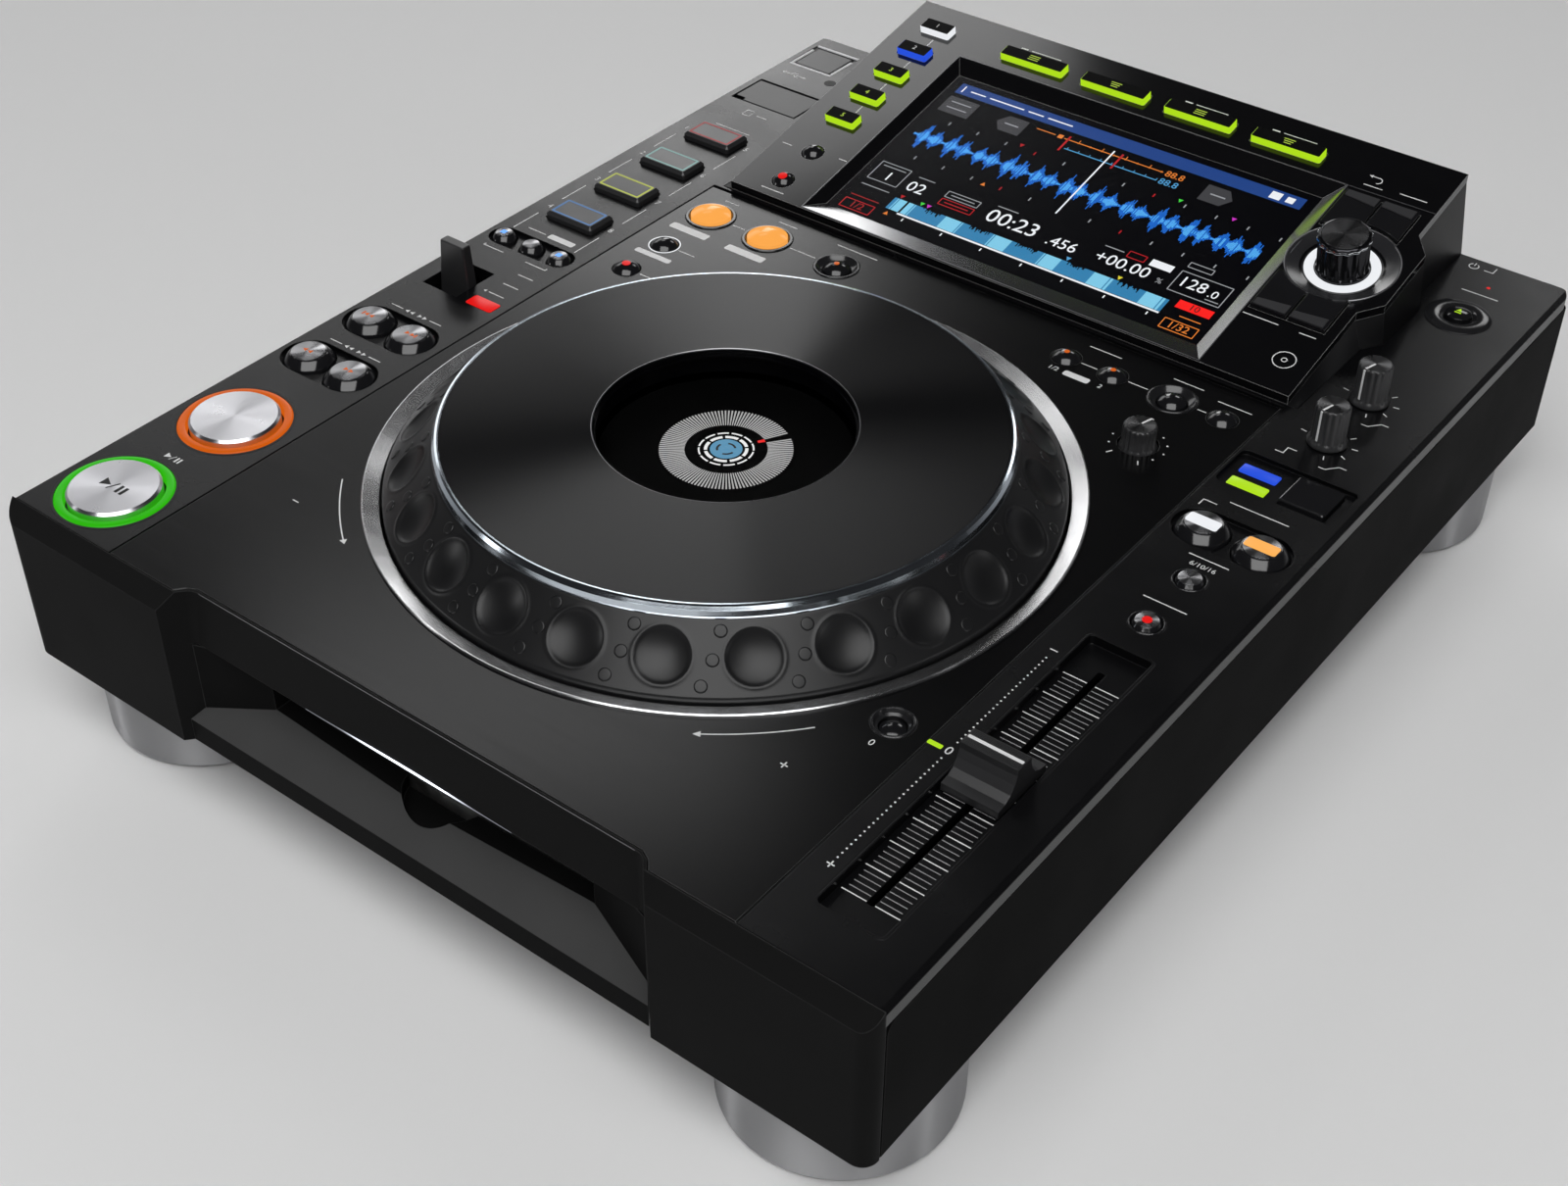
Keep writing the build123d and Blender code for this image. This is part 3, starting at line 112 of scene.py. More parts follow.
class Shader:
    """A Principled material and the few node patterns that the finishes share."""

    def __init__(self, name, color, rough, metallic=0.0, specular=0.5):
        material = finishes[name] = bpy.data.materials.new(name)
        material.use_nodes = True
        self.tree = material.node_tree
        self.bsdf = self.tree.nodes["Principled BSDF"]
        self.color, self.rough = color, rough
        self.set("Base Color", (*color, 1))
        self.set("Roughness", rough)
        self.set("Metallic", metallic)
        self.set("Specular IOR Level", specular)
        self.coords = self.node("TexCoord", out="Object")
        self.normal = None

    def feed(self, socket, value):
        """Links a socket to another one, or gives it a plain value."""
        if isinstance(value, bpy.types.NodeSocket):
            self.tree.links.new(value, socket)
        elif value is not None:
            socket.default_value = value

    def set(self, name, value):
        self.feed(self.bsdf.inputs[name], value)
        return self

    def node(self, kind, *feeds, out=0, **settings):
        """A node fed by its inputs' order or names; gives back one of its outputs."""
        made = self.tree.nodes.new("ShaderNode" + kind)
        for name, value in settings.items():
            if name in made.inputs:
                self.feed(made.inputs[name], value)
            else:
                setattr(made, name, value)
        for socket, value in zip(made.inputs, feeds):
            self.feed(socket, value)
        return made.outputs[out]

    def blend(self, share, low, high):
        mix = self.tree.nodes.new("ShaderNodeMix")
        mix.data_type = "RGBA"
        for socket, value in ((0, share), (6, low), (7, high)):
            self.feed(mix.inputs[socket], value)
        return mix.outputs[2]

    def cover(self, share, under, over):
        """Mixes two shaders into the material's surface."""
        mixed = self.node("MixShader", share, under, over)
        self.feed(self.tree.nodes["Material Output"].inputs["Surface"], mixed)

    def rounded(self, radius):
        return self.node("Bevel", samples=4, Radius=radius * MM)

    def soft_edges(self, radius=0.4):
        """Edges catch the light as if rounded to this radius (mm)."""
        self.normal = self.rounded(radius)
        return self.set("Normal", self.normal)

    def painted_edge_highlight(self, color, radius=0.4):
        """Painted highlight: a paler base colour along the edges, where rounded edges would catch the light."""
        flat = self.node("NewGeometry", out="Normal")
        turn = self.node("VectorMath", self.rounded(radius), flat, operation="DOT_PRODUCT", out="Value")
        share = self.node("MapRange", turn, 0.995, 0.86)
        body = self.bsdf.inputs["Base Color"].links[0].from_socket
        return self.set("Base Color", self.blend(share, body, (*color, 1)))

    def noise(self, scale, detail=3.0, stretch=None):
        """Noise in metres; stretch is a scale for each axis, for grain that runs one way."""
        spot = self.node("Mapping", self.coords, Scale=stretch) if stretch else self.coords
        return self.node("TexNoise", Vector=spot, Scale=scale, Detail=detail)

    def swing(self, factor, amount):
        """Roughness that rises and falls by amount as the factor does."""
        spread = self.rough - amount, self.rough + amount
        return self.set("Roughness", self.node("MapRange", factor, 0.3, 0.7, *spread))

    def drift(self, amount, scale=45.0):
        """Colour that varies a little over the surface."""
        low, high = ([min(1.0, c * k) for c in self.color] for k in (1 - amount, 1 + amount))
        return self.set("Base Color", self.blend(self.noise(scale), (*low, 1), (*high, 1)))

    def smudge(self, amount, scale=30.0):
        """Roughness that varies as on a surface that has been wiped."""
        return self.swing(self.noise(scale, 5.0), amount)

    def bump(self, factor, strength, distance):
        self.normal = self.node("Bump", Strength=strength, Distance=distance, Height=factor, Normal=self.normal)
        return self.set("Normal", self.normal)

    def grain(self, scale=3500.0, strength=0.25):
        return self.bump(self.noise(scale, 2.0), strength, 0.00006)

    def brushed(self, stretch, strength, rough_spread=0.08):
        lines = self.noise(1.0, 4.0, stretch)
        return self.swing(lines, rough_spread).bump(lines, strength, 0.00005)

    def away_from(self, centre):
        return self.node("VectorMath", self.coords, [c * MM for c in centre], operation="SUBTRACT")

    def radius_from(self, centre):
        """Distance from a vertical axis through centre (in mm)."""
        level = self.node("VectorMath", self.away_from(centre), (1, 1, 0), operation="MULTIPLY")
        return self.node("VectorMath", level, operation="LENGTH", out="Value")

    def turned(self, centre, scale=9000.0, strength=0.12):
        """Fine concentric marks, as a lathe leaves them."""
        rings = self.node("TexNoise", noise_dimensions="1D", Scale=scale, Detail=2.0, W=self.radius_from(centre))
        return self.bump(rings, strength, 0.00003)

    def spun(self, centre, amount):
        """Concentric marks round centre (mm), so that highlights fan out from it."""
        way = self.node(
            "VectorTransform", self.away_from(centre), vector_type="VECTOR", convert_from="OBJECT", convert_to="WORLD"
        )
        self.set("Tangent", self.node("VectorMath", way, operation="NORMALIZE"))
        return self.set("Anisotropic", amount)

    def turned_wall(self, amount):
        """Turning marks round an upright wall: its highlights run up and down."""
        return self.set("Tangent", self.node("CombineXYZ", Z=1.0)).set("Anisotropic", amount)

    def glow(self, color, strength):
        return self.set("Emission Color", (*color, 1)).set("Emission Strength", strength)


def case_plastic(name, color, rough, specular):
    Shader(name, color, rough, 0.0, specular).soft_edges().drift(0.12).smudge(0.04).grain()


def dark_paint(name, value, specular):
    paint = Shader(name, (value,) * 3, 0.4, 0.0, specular).soft_edges().drift(0.12)
    # painted highlight: paler colour along the edges, where they would catch the light
    paint.painted_edge_highlight((0.05, 0.05, 0.05)).smudge(0.04).grain()


def gloss_plastic(name, color, rough=0.12, specular=0.4):
    Shader(name, color, rough, 0.0, specular).soft_edges().drift(0.2, 80.0).smudge(0.02).grain(900.0, 0.03)


def lit(name, color, strength=1.0, base=0.06, rough=0.35):
    """A lamp or printed light guide: the glow is a little uneven, as the light behind it is."""
    lamp = Shader(name, [c * base for c in color], rough, 0.0, 0.15).glow(color, strength)
    lamp.drift(0.15, 200.0).grain(2500.0, 0.05)


def ink(name, color, rough=0.5):
    Shader(name, color, rough, 0.0, 0.3).drift(0.08, 300.0).grain(5000.0, 0.08)


def spun_metal(name, color, rough, centre, amount=0.85):
    Shader(name, color, rough, 1.0).smudge(0.03, 120.0).spun(centre, amount)
    return name


def clear_glass(name, rough, gloss_share):
    """Thin clear plate: what shows through it stays as bright, and it keeps its own gloss."""
    glass = Shader(name, (1, 1, 1), rough).set("Alpha", 0.0)
    inside = glass.node("NewGeometry", out="Backfacing")
    outer = glass.node("Math", glass.node("Fresnel", IOR=1.45), inside, operation="SUBTRACT", use_clamp=True)
    share = glass.node("Math", outer, gloss_share, operation="MULTIPLY")
    glass.cover(share, glass.node("BsdfTransparent"), glass.node("BsdfGlossy", Roughness=rough))


def slot_glow():
    """White light guide, brightest in the middle."""
    guide = Shader("slot_glow", (0.06, 0.06, 0.065), 0.35, 0.0, 0.15).drift(0.15, 200.0)
    guide.glow((0.85, 0.9, 1.0), 1.0)
    share = guide.node("Math", guide.node("SeparateXYZ", guide.coords), 26 * MM, operation="DIVIDE")
    square = guide.node("Math", share, 2.0, operation="POWER")
    guide.set("Emission Strength", guide.node("MapRange", square, 0, 1, 2.4, 0.2, interpolation_type="SMOOTHSTEP"))


case_plastic("strip_plastic", (0.003, 0.003, 0.0034), 0.25, 0.27)
case_plastic("housing_plastic", (0.004, 0.004, 0.0045), 0.34, 0.2)
# painted light: the slot lip's slope gets a much paler colour than the rest of the lip, as if lit, though the band
# above shades it
case_plastic("lip_slope_painted_light", (0.05, 0.05, 0.05), 0.45, 0.06)
case_plastic("pan_paint", (0.007, 0.007, 0.0075), 0.5, 0.1)
case_plastic("knob_plastic", (0.02, 0.02, 0.021), 0.32, 0.5)
case_plastic("socket_plastic", (0.015, 0.015, 0.015), 0.4, 0.4)
case_plastic("dark_void", (0.0015, 0.0015, 0.0015), 0.6, 0.01)
dark_paint("side_paint", 0.0035, 0.006)
dark_paint("front_plastic", 0.009, 0.012)
dark_paint("skirt_plastic", 0.006, 0.012)
gloss_plastic("door_gloss", (0.003, 0.003, 0.0035), 0.16, 0.12)
gloss_plastic("button_gloss", (0.008, 0.008, 0.009), 0.1, 0.6)
gloss_plastic("ring_gloss", (0.012, 0.012, 0.013), 0.16, 0.6)
Shader("flank_plastic", (0.007, 0.007, 0.0075), 0.36, 0.0, 0.35).drift(0.1).smudge(0.04).grain(2600.0, 0.08)
Shader("key_black", (0.002, 0.002, 0.002), 0.4, 0.0, 0.03).drift(0.2)
Shader("screen_black", (0.002, 0.002, 0.003), 0.3, 0.0, 0.03).drift(0.2)
Shader("dish_gloss", (0.02, 0.02, 0.022), 0.2, 0.0, 0.6).smudge(0.03)
Shader("fan_gloss", (0.03, 0.03, 0.032), 0.3, 0.0, 0.5).drift(0.1).grain(2500.0, 0.05)
Shader("selector_black", (0.03, 0.03, 0.033), 0.14, 0.9).smudge(0.03).grain(1500.0, 0.04)
Shader("rubber", (0.02, 0.02, 0.02), 0.75, 0.0, 0.3).drift(0.2).grain(1500.0, 0.3)
Shader("board_mask", (0.01, 0.07, 0.03), 0.35).drift(0.25, 300.0).grain(1500.0, 0.2)
panel_gloss = Shader("panel_gloss", (0.003, 0.003, 0.0035), 0.12).drift(0.2, 80.0)
# painted highlight: pale colour along the panel's edges, where they would catch the light
panel_gloss.painted_edge_highlight((0.3, 0.3, 0.3), 0.35).smudge(0.01)
deck_metal = Shader("deck_metal", (0.0022, 0.0022, 0.0024), 0.19, 0.0, 0.26).soft_edges(0.3).drift(0.1)
# painted highlight: pale colour along the deck plate's edges, where they would catch the light
deck_metal.painted_edge_highlight((0.12, 0.12, 0.12), 0.3).brushed((14.0, 9000.0, 9000.0), 0.06, 0.03)
plate_satin = Shader("plate_satin", (0.0012, 0.0012, 0.0016), 0.19, 0.0, 0.2).drift(0.1)
plate_satin.spun((0, jog_y, plate_z), 0.95).turned((0, jog_y, 0), 6000.0, 0.06)
zinc_plate = Shader("zinc_plate", (0.55, 0.55, 0.54), 0.4, 1.0).soft_edges(0.3).drift(0.08)
zinc_plate.brushed((400.0, 400.0, 400.0), 0.1)
Shader("foot_silver", (0.42, 0.42, 0.43), 0.44, 1.0).smudge(0.02, 60.0).turned_wall(0.97)
Shader("chrome", (0.75, 0.77, 0.8), 0.08, 1.0).smudge(0.03, 90.0).grain(1200.0, 0.02)
Shader("rim_metal", (0.22, 0.22, 0.23), 0.3, 1.0).smudge(0.03, 90.0)
Shader("trim_chrome", (0.62, 0.68, 0.74), 0.12, 1.0).smudge(0.03, 60.0).turned((0, jog_y, 0))
# painted reflection: pale metal colour for the screen frame's front and right slopes, which are the same glossy black
# as the others
Shader("bevel_painted_reflection", (0.36, 0.36, 0.37), 0.14, 1.0).drift(0.05).grain(2500.0, 0.02)
Shader("seam_silver", (0.2, 0.2, 0.21), 0.3, 0.8).drift(0.05).grain(2500.0, 0.06)
Shader("gold", (0.75, 0.52, 0.2), 0.25, 1.0).smudge(0.05)
spun_metal("bezel_metal", (0.78, 0.78, 0.79), 0.24, (0, jog_y, 84.1), 0.9)
ink("white_ink", (0.72, 0.72, 0.72))
ink("frame_grey", (0.72, 0.72, 0.73))
ink("grey_ink", (0.3, 0.3, 0.31))
ink("black_ink", (0.01, 0.01, 0.01))
ink("lcd_black", (0.004, 0.004, 0.004))
ink("red_insert", (0.5, 0.015, 0.015), 0.35)
lit("green_light", (0.025, 0.44, 0.003), 1.0, 0.03)
lit("orange_light", (0.6, 0.1, 0.003), 1.0, 0.03)
lit("amber_dome", (0.92, 0.38, 0.075), 0.95, 0.15, 0.16)
for name, color, strength in (
    ("lime_light", (0.42, 0.72, 0.012), 1.0),
    ("white_light", (0.9, 0.92, 0.95), 0.9),
    ("blue_light", (0.02, 0.08, 0.7), 1.0),
    ("red_light", (0.72, 0.006, 0.005), 1.0),
    ("lead_light", (1.0, 0.45, 0.1), 0.95),
    ("sky_lamp", (0.12, 0.35, 1.0), 1.3),
    ("red_line", (0.42, 0.02, 0.025), 0.6),
    ("teal_line", (0.3, 0.55, 0.52), 0.6),
    ("lime_line", (0.55, 0.62, 0.06), 0.7),
    ("blue_line", (0.08, 0.22, 0.5), 0.7),
    ("lime_print", (0.5, 0.7, 0.08), 0.8),
    ("screen_grey", (0.5, 0.5, 0.5), 0.8),
    ("screen_white", (0.85, 0.85, 0.85), 0.9),
    ("screen_hub", (0.09, 0.28, 0.45), 0.9),
    ("lcd_navy", (0.012, 0.05, 0.22), 1.0),
    ("lcd_white", (0.8, 0.82, 0.85), 1.0),
    ("lcd_grey", (0.045, 0.045, 0.05), 1.0),
    ("lcd_mid", (0.3, 0.31, 0.33), 1.0),
    ("lcd_orange", (0.7, 0.2, 0.03), 1.0),
    ("lcd_sky", (0.08, 0.32, 0.6), 1.0),
    ("lcd_red", (0.4, 0.01, 0.015), 1.0),
    ("lcd_dark_red", (0.3, 0.01, 0.012), 1.0),
    ("lcd_hot_red", (0.9, 0.012, 0.01), 1.0),
    ("lcd_green", (0.05, 0.6, 0.05), 1.0),
    ("lcd_magenta", (0.55, 0.03, 0.5), 1.0),
    ("lcd_yellow", (0.7, 0.6, 0.03), 1.0),
    ("lcd_wave", (0.01, 0.14, 0.62), 1.0),
    ("lcd_wave_pale", (0.1, 0.45, 0.9), 1.0),
    ("lcd_strip", (0.03, 0.2, 0.4), 1.0),
    ("lcd_strip_pale", (0.2, 0.55, 0.75), 1.0),
):
    lit(name, color, strength)
clear_glass("lens_glass", 0.14, 0.12)
clear_glass("window_glass", 0.03, 0.02)
slot_glow()


# ------------------------------------------------------------------ mesh building
def round_rect(x, y, w, h, r, inset=0.0, steps=5):
    """Outline of a rounded rectangle, drawn in by inset."""
    w, h, r = w - 2 * inset, h - 2 * inset, max(r - inset, 0.02)
    outline = []
    for corner, (sx, sy) in enumerate(((1, 1), (-1, 1), (-1, -1), (1, -1))):
        for k in range(steps + 1):
            t = math.radians(90 * corner + 90 * k / steps)
            outline.append((x + sx * (w / 2 - r) + r * math.cos(t), y + sy * (h / 2 - r) + r * math.sin(t)))
    return outline


def circle(r, z, sides, x=0.0, y=0.0):
    turns = [2 * math.pi * k / sides for k in range(sides)]
    return [(x + r * math.cos(t), y + r * math.sin(t), z) for t in turns]


def fluted(x, y, r, z, flutes, depth, sides, power=1.0):
    """A circle that is drawn in by depth at each of its flutes."""
    ring = []
    for k in range(sides):
        t = 2 * math.pi * k / sides
        reach = r - depth * (0.5 + 0.5 * math.cos(flutes * t)) ** power
        ring.append((x + reach * math.cos(t), y + reach * math.sin(t), z))
    return ring


class Solid:
    """Closed shapes in millimetres, gathered into one mesh; flat ones stand from z0 to z1."""

    def __init__(self, z0=0.0, z1=0.0):
        self.points, self.faces, self.paints = [], [], []
        self.paint = 0
        self.span = (z0, z1)

    def add(self, points, faces):
        base = len(self.points)
        self.points.extend(points)
        self.faces.extend([base + v for v in face] for face in faces)
        self.paints.extend([self.paint] * len(faces))
        return self

    def stack(self, rings, closed=False):
        """Skins a pile of rings of equally many points; its ends are capped, or joined if closed."""
        n, count = len(rings[0]), len(rings)
        faces = []
        for i in range(count if closed else count - 1):
            low, up = i * n, (i + 1) % count * n
            for k in range(n):
                faces.append((low + k, low + (k + 1) % n, up + (k + 1) % n, up + k))
        if not closed:
            faces.append(list(reversed(range(n))))
            faces.append(list(range((count - 1) * n, count * n)))
        return self.add([point for ring in rings for point in ring], faces)

    def prism(self, outline):
        return self.stack([[(x, y, z) for x, y in outline] for z in self.span])

    def bar(self, x, y, w, h, turn=0.0):
        c, s = math.cos(turn), math.sin(turn)
        corners = [(-w / 2, -h / 2), (w / 2, -h / 2), (w / 2, h / 2), (-w / 2, h / 2)]
        return self.prism([(x + a * c - b * s, y + a * s + b * c) for a, b in corners])

    def line(self, x0, y0, x1, y1, width=0.35):
        dx, dy = x1 - x0, y1 - y0
        return self.bar((x0 + x1) / 2, (y0 + y1) / 2, math.hypot(dx, dy), width, math.atan2(dy, dx))

    def lathe(self, profile, x=0.0, y=0.0, sides=64, closed=False, z=0.0):
        """Turns a profile of (radius, height above z) about a vertical axis through x, y."""
        return self.stack([circle(r, z + height, sides, x, y) for r, height in profile], closed)

    def disc(self, x, y, r, sides):
        z0, z1 = self.span
        return self.lathe([(r, z0), (r, z1), (0.01, z1)], x, y, sides)

    def ring(self, x, y, r0, r1, sides):
        z0, z1 = self.span
        return self.lathe([(r1, z0), (r1, z1), (r0, z1), (r0, z0)], x, y, sides, True)

    def arc(self, x, y, r0, r1, start, end, steps):
        turns = [math.radians(start + (end - start) * k / steps) for k in range(steps + 1)]
        outer = [(x + r1 * math.cos(t), y + r1 * math.sin(t)) for t in turns]
        inner = [(x + r0 * math.cos(t), y + r0 * math.sin(t)) for t in reversed(turns)]
        return self.prism(outer + inner)

    def pad(self, x, y, w, h, r, layers=None, steps=4, z=0.0):
        """A rounded rectangle whose outline shrinks by each layer's inset: (inset, height above z)."""
        layers = layers or [(0, height) for height in self.span]
        rings = []
        for inset, height in layers:
            rings.append([(px, py, z + height) for px, py in round_rect(x, y, w, h, r, inset, steps)])
        return self.stack(rings)

    def frame(self, x, y, w, h, r, width, steps=5):
        """A rounded rectangular band of the given width."""
        z0, z1 = self.span
        rings = []
        for inset, z in ((0, z0), (0, z1), (width, z1), (width, z0)):
            rings.append([(px, py, z) for px, py in round_rect(x, y, w, h, r, inset, steps)])
        return self.stack(rings, True)

    def triangle(self, x, y, size, turn):
        """An arrowhead that points along the angle turn, in degrees."""
        corners = []
        for k, reach in ((0, 1.15), (120, 1.0), (240, 1.0)):
            t = math.radians(turn + k)
            corners.append((x + size * reach * math.cos(t), y + size * reach * math.sin(t)))
        return self.prism(corners)

    def text(self, words, x, y, size, align="CENTER"):
        """Plain figures and signs."""
        z0, z1 = self.span
        curve = bpy.data.curves.new("figures", "FONT")
        curve.body = words
        curve.size = size
        curve.align_x = align
        curve.align_y = "CENTER"
        curve.resolution_u = 3
        curve.extrude = (z1 - z0) / 2
        holder = bpy.data.objects.new("figures", curve)
        bpy.context.scene.collection.objects.link(holder)
        bpy.context.view_layer.update()
        mesh = bpy.data.meshes.new_from_object(holder.evaluated_get(bpy.context.evaluated_depsgraph_get()))
        centre = Vector((x, y, (z0 + z1) / 2))
        self.add([tuple(centre + v.co) for v in mesh.vertices], [list(p.vertices) for p in mesh.polygons])
        bpy.data.objects.remove(holder)
        bpy.data.meshes.remove(mesh)
        bpy.data.curves.remove(curve)
        return self

    def make(self, name, body, slot, *materials, place=FLAT, sharp=32.0, replaces=(), weld=False):
        """One piece of the scene, with materials given by name."""
        mesh = bpy.data.meshes.new(name)
        mesh.from_pydata([tuple((place @ Vector(p)) * MM) for p in self.points], [], self.faces)
        for material in materials:
            mesh.materials.append(finishes[material])
        mesh.polygons.foreach_set("material_index", self.paints)
        if weld:
            welded = bmesh.new()
            welded.from_mesh(mesh)
            bmesh.ops.remove_doubles(welded, verts=welded.verts, dist=1e-7)
            welded.to_mesh(mesh)
            welded.free()
        mesh.polygons.foreach_set("use_smooth", [True] * len(mesh.polygons))
        mesh.set_sharp_from_angle(angle=math.radians(sharp))
        piece = bpy.data.objects.new(name, mesh)
        bpy.context.scene.collection.objects.link(piece)
        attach(piece, body)
        if replaces:
            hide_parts(*replaces)


def print_on(z):
    """Flat shapes printed on a surface at height z."""
    return Solid(z + SUNK, z + PROUD)


def dome(r, rise, base, steps):
    """Profile of a domed cap: an arc of the given rise over a radius."""
    ball = (r * r + rise * rise) / (2 * rise)
    reach = math.asin(min(1.0, r / ball))
    turns = [reach * (1 - k / steps) for k in range(steps + 1)]
    return [(max(ball * math.sin(t), 0.01), base + rise - ball * (1 - math.cos(t))) for t in turns]


# ------------------------------------------------------------------ finishes of the CAD nodes
def dress(material, names):
    for name in names.split():
        nodes[name].data.materials.clear()
        nodes[name].data.materials.append(finishes[material])


def paint_faces(node, material, chosen):
    """Gives a second finish to the node's faces that the test picks."""
    mesh = nodes[node].data
    mesh.materials.append(finishes[material])
    for polygon in mesh.polygons:
        if chosen(polygon):
            polygon.material_index = 1


dress("pan_paint", "bottom_chassis rear_panel")
dress("side_paint", "side_plates")
dress("strip_plastic", "top_case fader_track")
dress("deck_metal", "deck_plate")
dress("front_plastic", "front_panel")
# the lip first takes the paler painted-light colour, which stays only on its slope
dress("lip_slope_painted_light", "slot_lip")
dress("socket_plastic", "rear_sockets power_switch laser_sled")
dress("foot_silver", "feet")
dress("rubber", "loading_roller")
dress("bezel_metal", "jog_bezel_ring")
dress("dark_void", "jog_post jog_display disc_turntable media_slots")
dress("door_gloss", "sd_door usb_door")
dress("screen_black", "touch_screen")
dress("trim_chrome", "jog_trim_ring")
dress("plate_satin", "jog_top_plate")
dress("window_glass", "jog_window")
dress("knob_plastic", "direction_lever tempo_fader hot_cue_a hot_cue_b hot_cue_c hot_cue_d")
dress("button_gloss", "reloop_button delete_button loop_cut_slip_buttons call_buttons tempo_reset_button")
dress("button_gloss", "eject_button jog_mode_button panel_buttons selector_keys tempo_buttons")
dress("housing_plastic", "display_housing")
dress("panel_gloss", "display_panel")
dress("board_mask", "circuit_boards")
dress("zinc_plate", "drive_chassis screws")
for name in ("play_button", "cue_button"):
    dress(spun_metal(name + "_metal", (0.72, 0.72, 0.75), 0.3, (*middle(name), 0), 0.8), name)


feet_low, feet_high = box("feet")


def in_rubber_pad(polygon):
    spot = polygon.center / MM
    across = min(feet_high.x - spot.x, spot.x - feet_low.x) - FOOT_R
    along = min(feet_high.y - spot.y, spot.y - feet_low.y) - FOOT_R
    return spot.z < PAD_TOP and math.hypot(across, along) < PAD_R + 0.1


def off_the_slope(polygon):
    slopes = polygon.normal.z > 0.3 and polygon.normal.y < -0.3
    return not (slopes and polygon.center.y < LIP_MOUTH_Y * MM)


paint_faces("feet", "rubber", in_rubber_pad)
# the lip's faces off the slope keep the dark paint; the slope alone carries the painted light
paint_faces("slot_lip", "skirt_plastic", off_the_slope)


# ------------------------------------------------------------------ jog wheel
def jog_wheel():
    """Dimpled flank of the dial, with small pips between the dimples."""
    count, dimple_r, depth = 24, 8.25, 1.7
    edge, edge_rise = 1.1, 0.25
    low_r, low_z = jog_r, 84.8
    top_r, top_z = 87.3, 99.7
    bore_r = 84.9
    run, rise = low_r - top_r, top_z - low_z
    slant = math.hypot(run, rise)
    nr, nz = rise / slant, run / slant
    dimple_up = 0.516
    place, middle_r = dimple_up * slant, low_r - run * dimple_up
    sides, rows = 1200, 46
    step = 2 * math.pi / count
    first = math.radians(-1.5)
    foot_z = jog_low.z
    foot = [(low_r - 2.6, foot_z), (low_r - 0.3, foot_z), (low_r, foot_z + 0.3), (low_r, low_z - 0.9)]
    rings = [circle(r, z, sides) for r, z in foot]
    for i in range(rows + 1):
        s = slant * (0.012 + 0.976 * i / rows)
        r0, z0 = low_r - run * s / slant, low_z + rise * s / slant
        ring = []
        for k in range(sides):
            t = 2 * math.pi * k / sides
            off = (t - first + step / 2) % step - step / 2
            d = math.hypot(off * middle_r, s - place)
            sink = 0.0
            if d < dimple_r:
                sink = depth * (1 - (d / dimple_r) ** 2)
                sink -= edge_rise * max(0.0, 1 - (dimple_r - d) / edge)
            elif d < dimple_r + edge:
                sink = -edge_rise * (1 - (d - dimple_r) / edge) ** 2
            r, z = r0 - nr * sink, z0 - nz * sink
            ring.append((r * math.cos(t), r * math.sin(t), z))
        rings.append(ring)
    rings += [circle(r, z, sides) for r, z in ((top_r - 0.5, top_z), (bore_r, top_z), (bore_r, 97.5))]
    flank = Solid().stack(rings, closed=True)
    flank.make("dimpled_flank", "jog", "black_gloss", "flank_plastic", place=DIAL, sharp=50, replaces=["jog_flank"])

    pip = Solid().lathe([(1.95, -0.3), (1.9, 0.12), (1.7, 0.28), (1.4, 0.3), (0.02, 0.3)], sides=20)
    pips = Solid()
    lean = Matrix.Rotation(math.atan2(nr, nz), 4, "Y")
    for i in range(count):
        for s, shift in ((18.5, 2.0), (10.6, 0.7), (3.5, -1.0)):
            t = first + step * (i + 0.5) + math.radians(shift)
            r, z = low_r - run * s / slant, low_z + rise * s / slant
            spot = Matrix.Rotation(t, 4, "Z") @ Matrix.Translation((r, 0, z)) @ lean
            pips.add([tuple(spot @ Vector(p)) for p in pip.points], pip.faces)
    pips.make("flank_pips", "jog", "black_gloss", "flank_plastic", place=DIAL, sharp=60)

    rim = Solid().lathe([(40.1, -0.3), (40.1, 0.02), (39.9, 0.04), (39.75, -0.1), (39.75, -0.5)],
                        sides=160, closed=True, z=plate_z)
    rim.make("window_rim", "jog", "chrome", "rim_metal", place=DIAL)


def jog_screen():
    """Round display under the window: a fan of ticks, two broken rings and a marker."""
    z0, z1 = display_z, display_z + 0.12
    gap_from, gap_to = 52.5, 62.5
    spokes, half = 116, 0.68
    ticks = Solid(z0, z1)
    for i in range(spokes):
        turn = gap_to + (360 - gap_to + gap_from) * i / (spokes - 1)
        ticks.arc(0, 0, 12.5, 20.2, turn - half, turn + half, 1)
    rings = Solid(z0, z1)
    for i in range(12):
        rings.arc(0, 0, 8.0, 8.5, 30 * i + 3, 30 * i + 27, 6)
    for i in range(8):
        rings.arc(0, 0, 5.7, 6.7, 45 * i + 4, 45 * i + 41, 6)
    hub = Solid(z0, z1).disc(0, 0, 4.9, 48)
    bars = Solid(z1, z1 + 0.05)
    for turn in (45.0, 165.0, 285.0):
        bars.arc(0, 0, 2.4, 3.1, turn, turn + 70, 6)
    marker = Solid(z0, z1).arc(0, 0, 10.2, 12.4, 56.0, 62.0, 2)
    for piece, name, material in (
        (ticks, "display_ticks", "screen_grey"),
        (rings, "display_rings", "screen_white"),
        (hub, "display_hub", "screen_hub"),
        (bars, "display_hub_marks", "black_ink"),
        (marker, "display_marker", "red_light"),
    ):
        piece.make(name, "base", "screen", material, place=DIAL)


jog_wheel()
jog_screen()


# ------------------------------------------------------------------ lit rings and button collars
loop_at = pair("loop_buttons")
sync_at = pair("sync_buttons")
cutter_at, slip_at = pile("loop_cut_slip_buttons")
call_at = [(46.5, 61.0), (64.0, 61.0)]


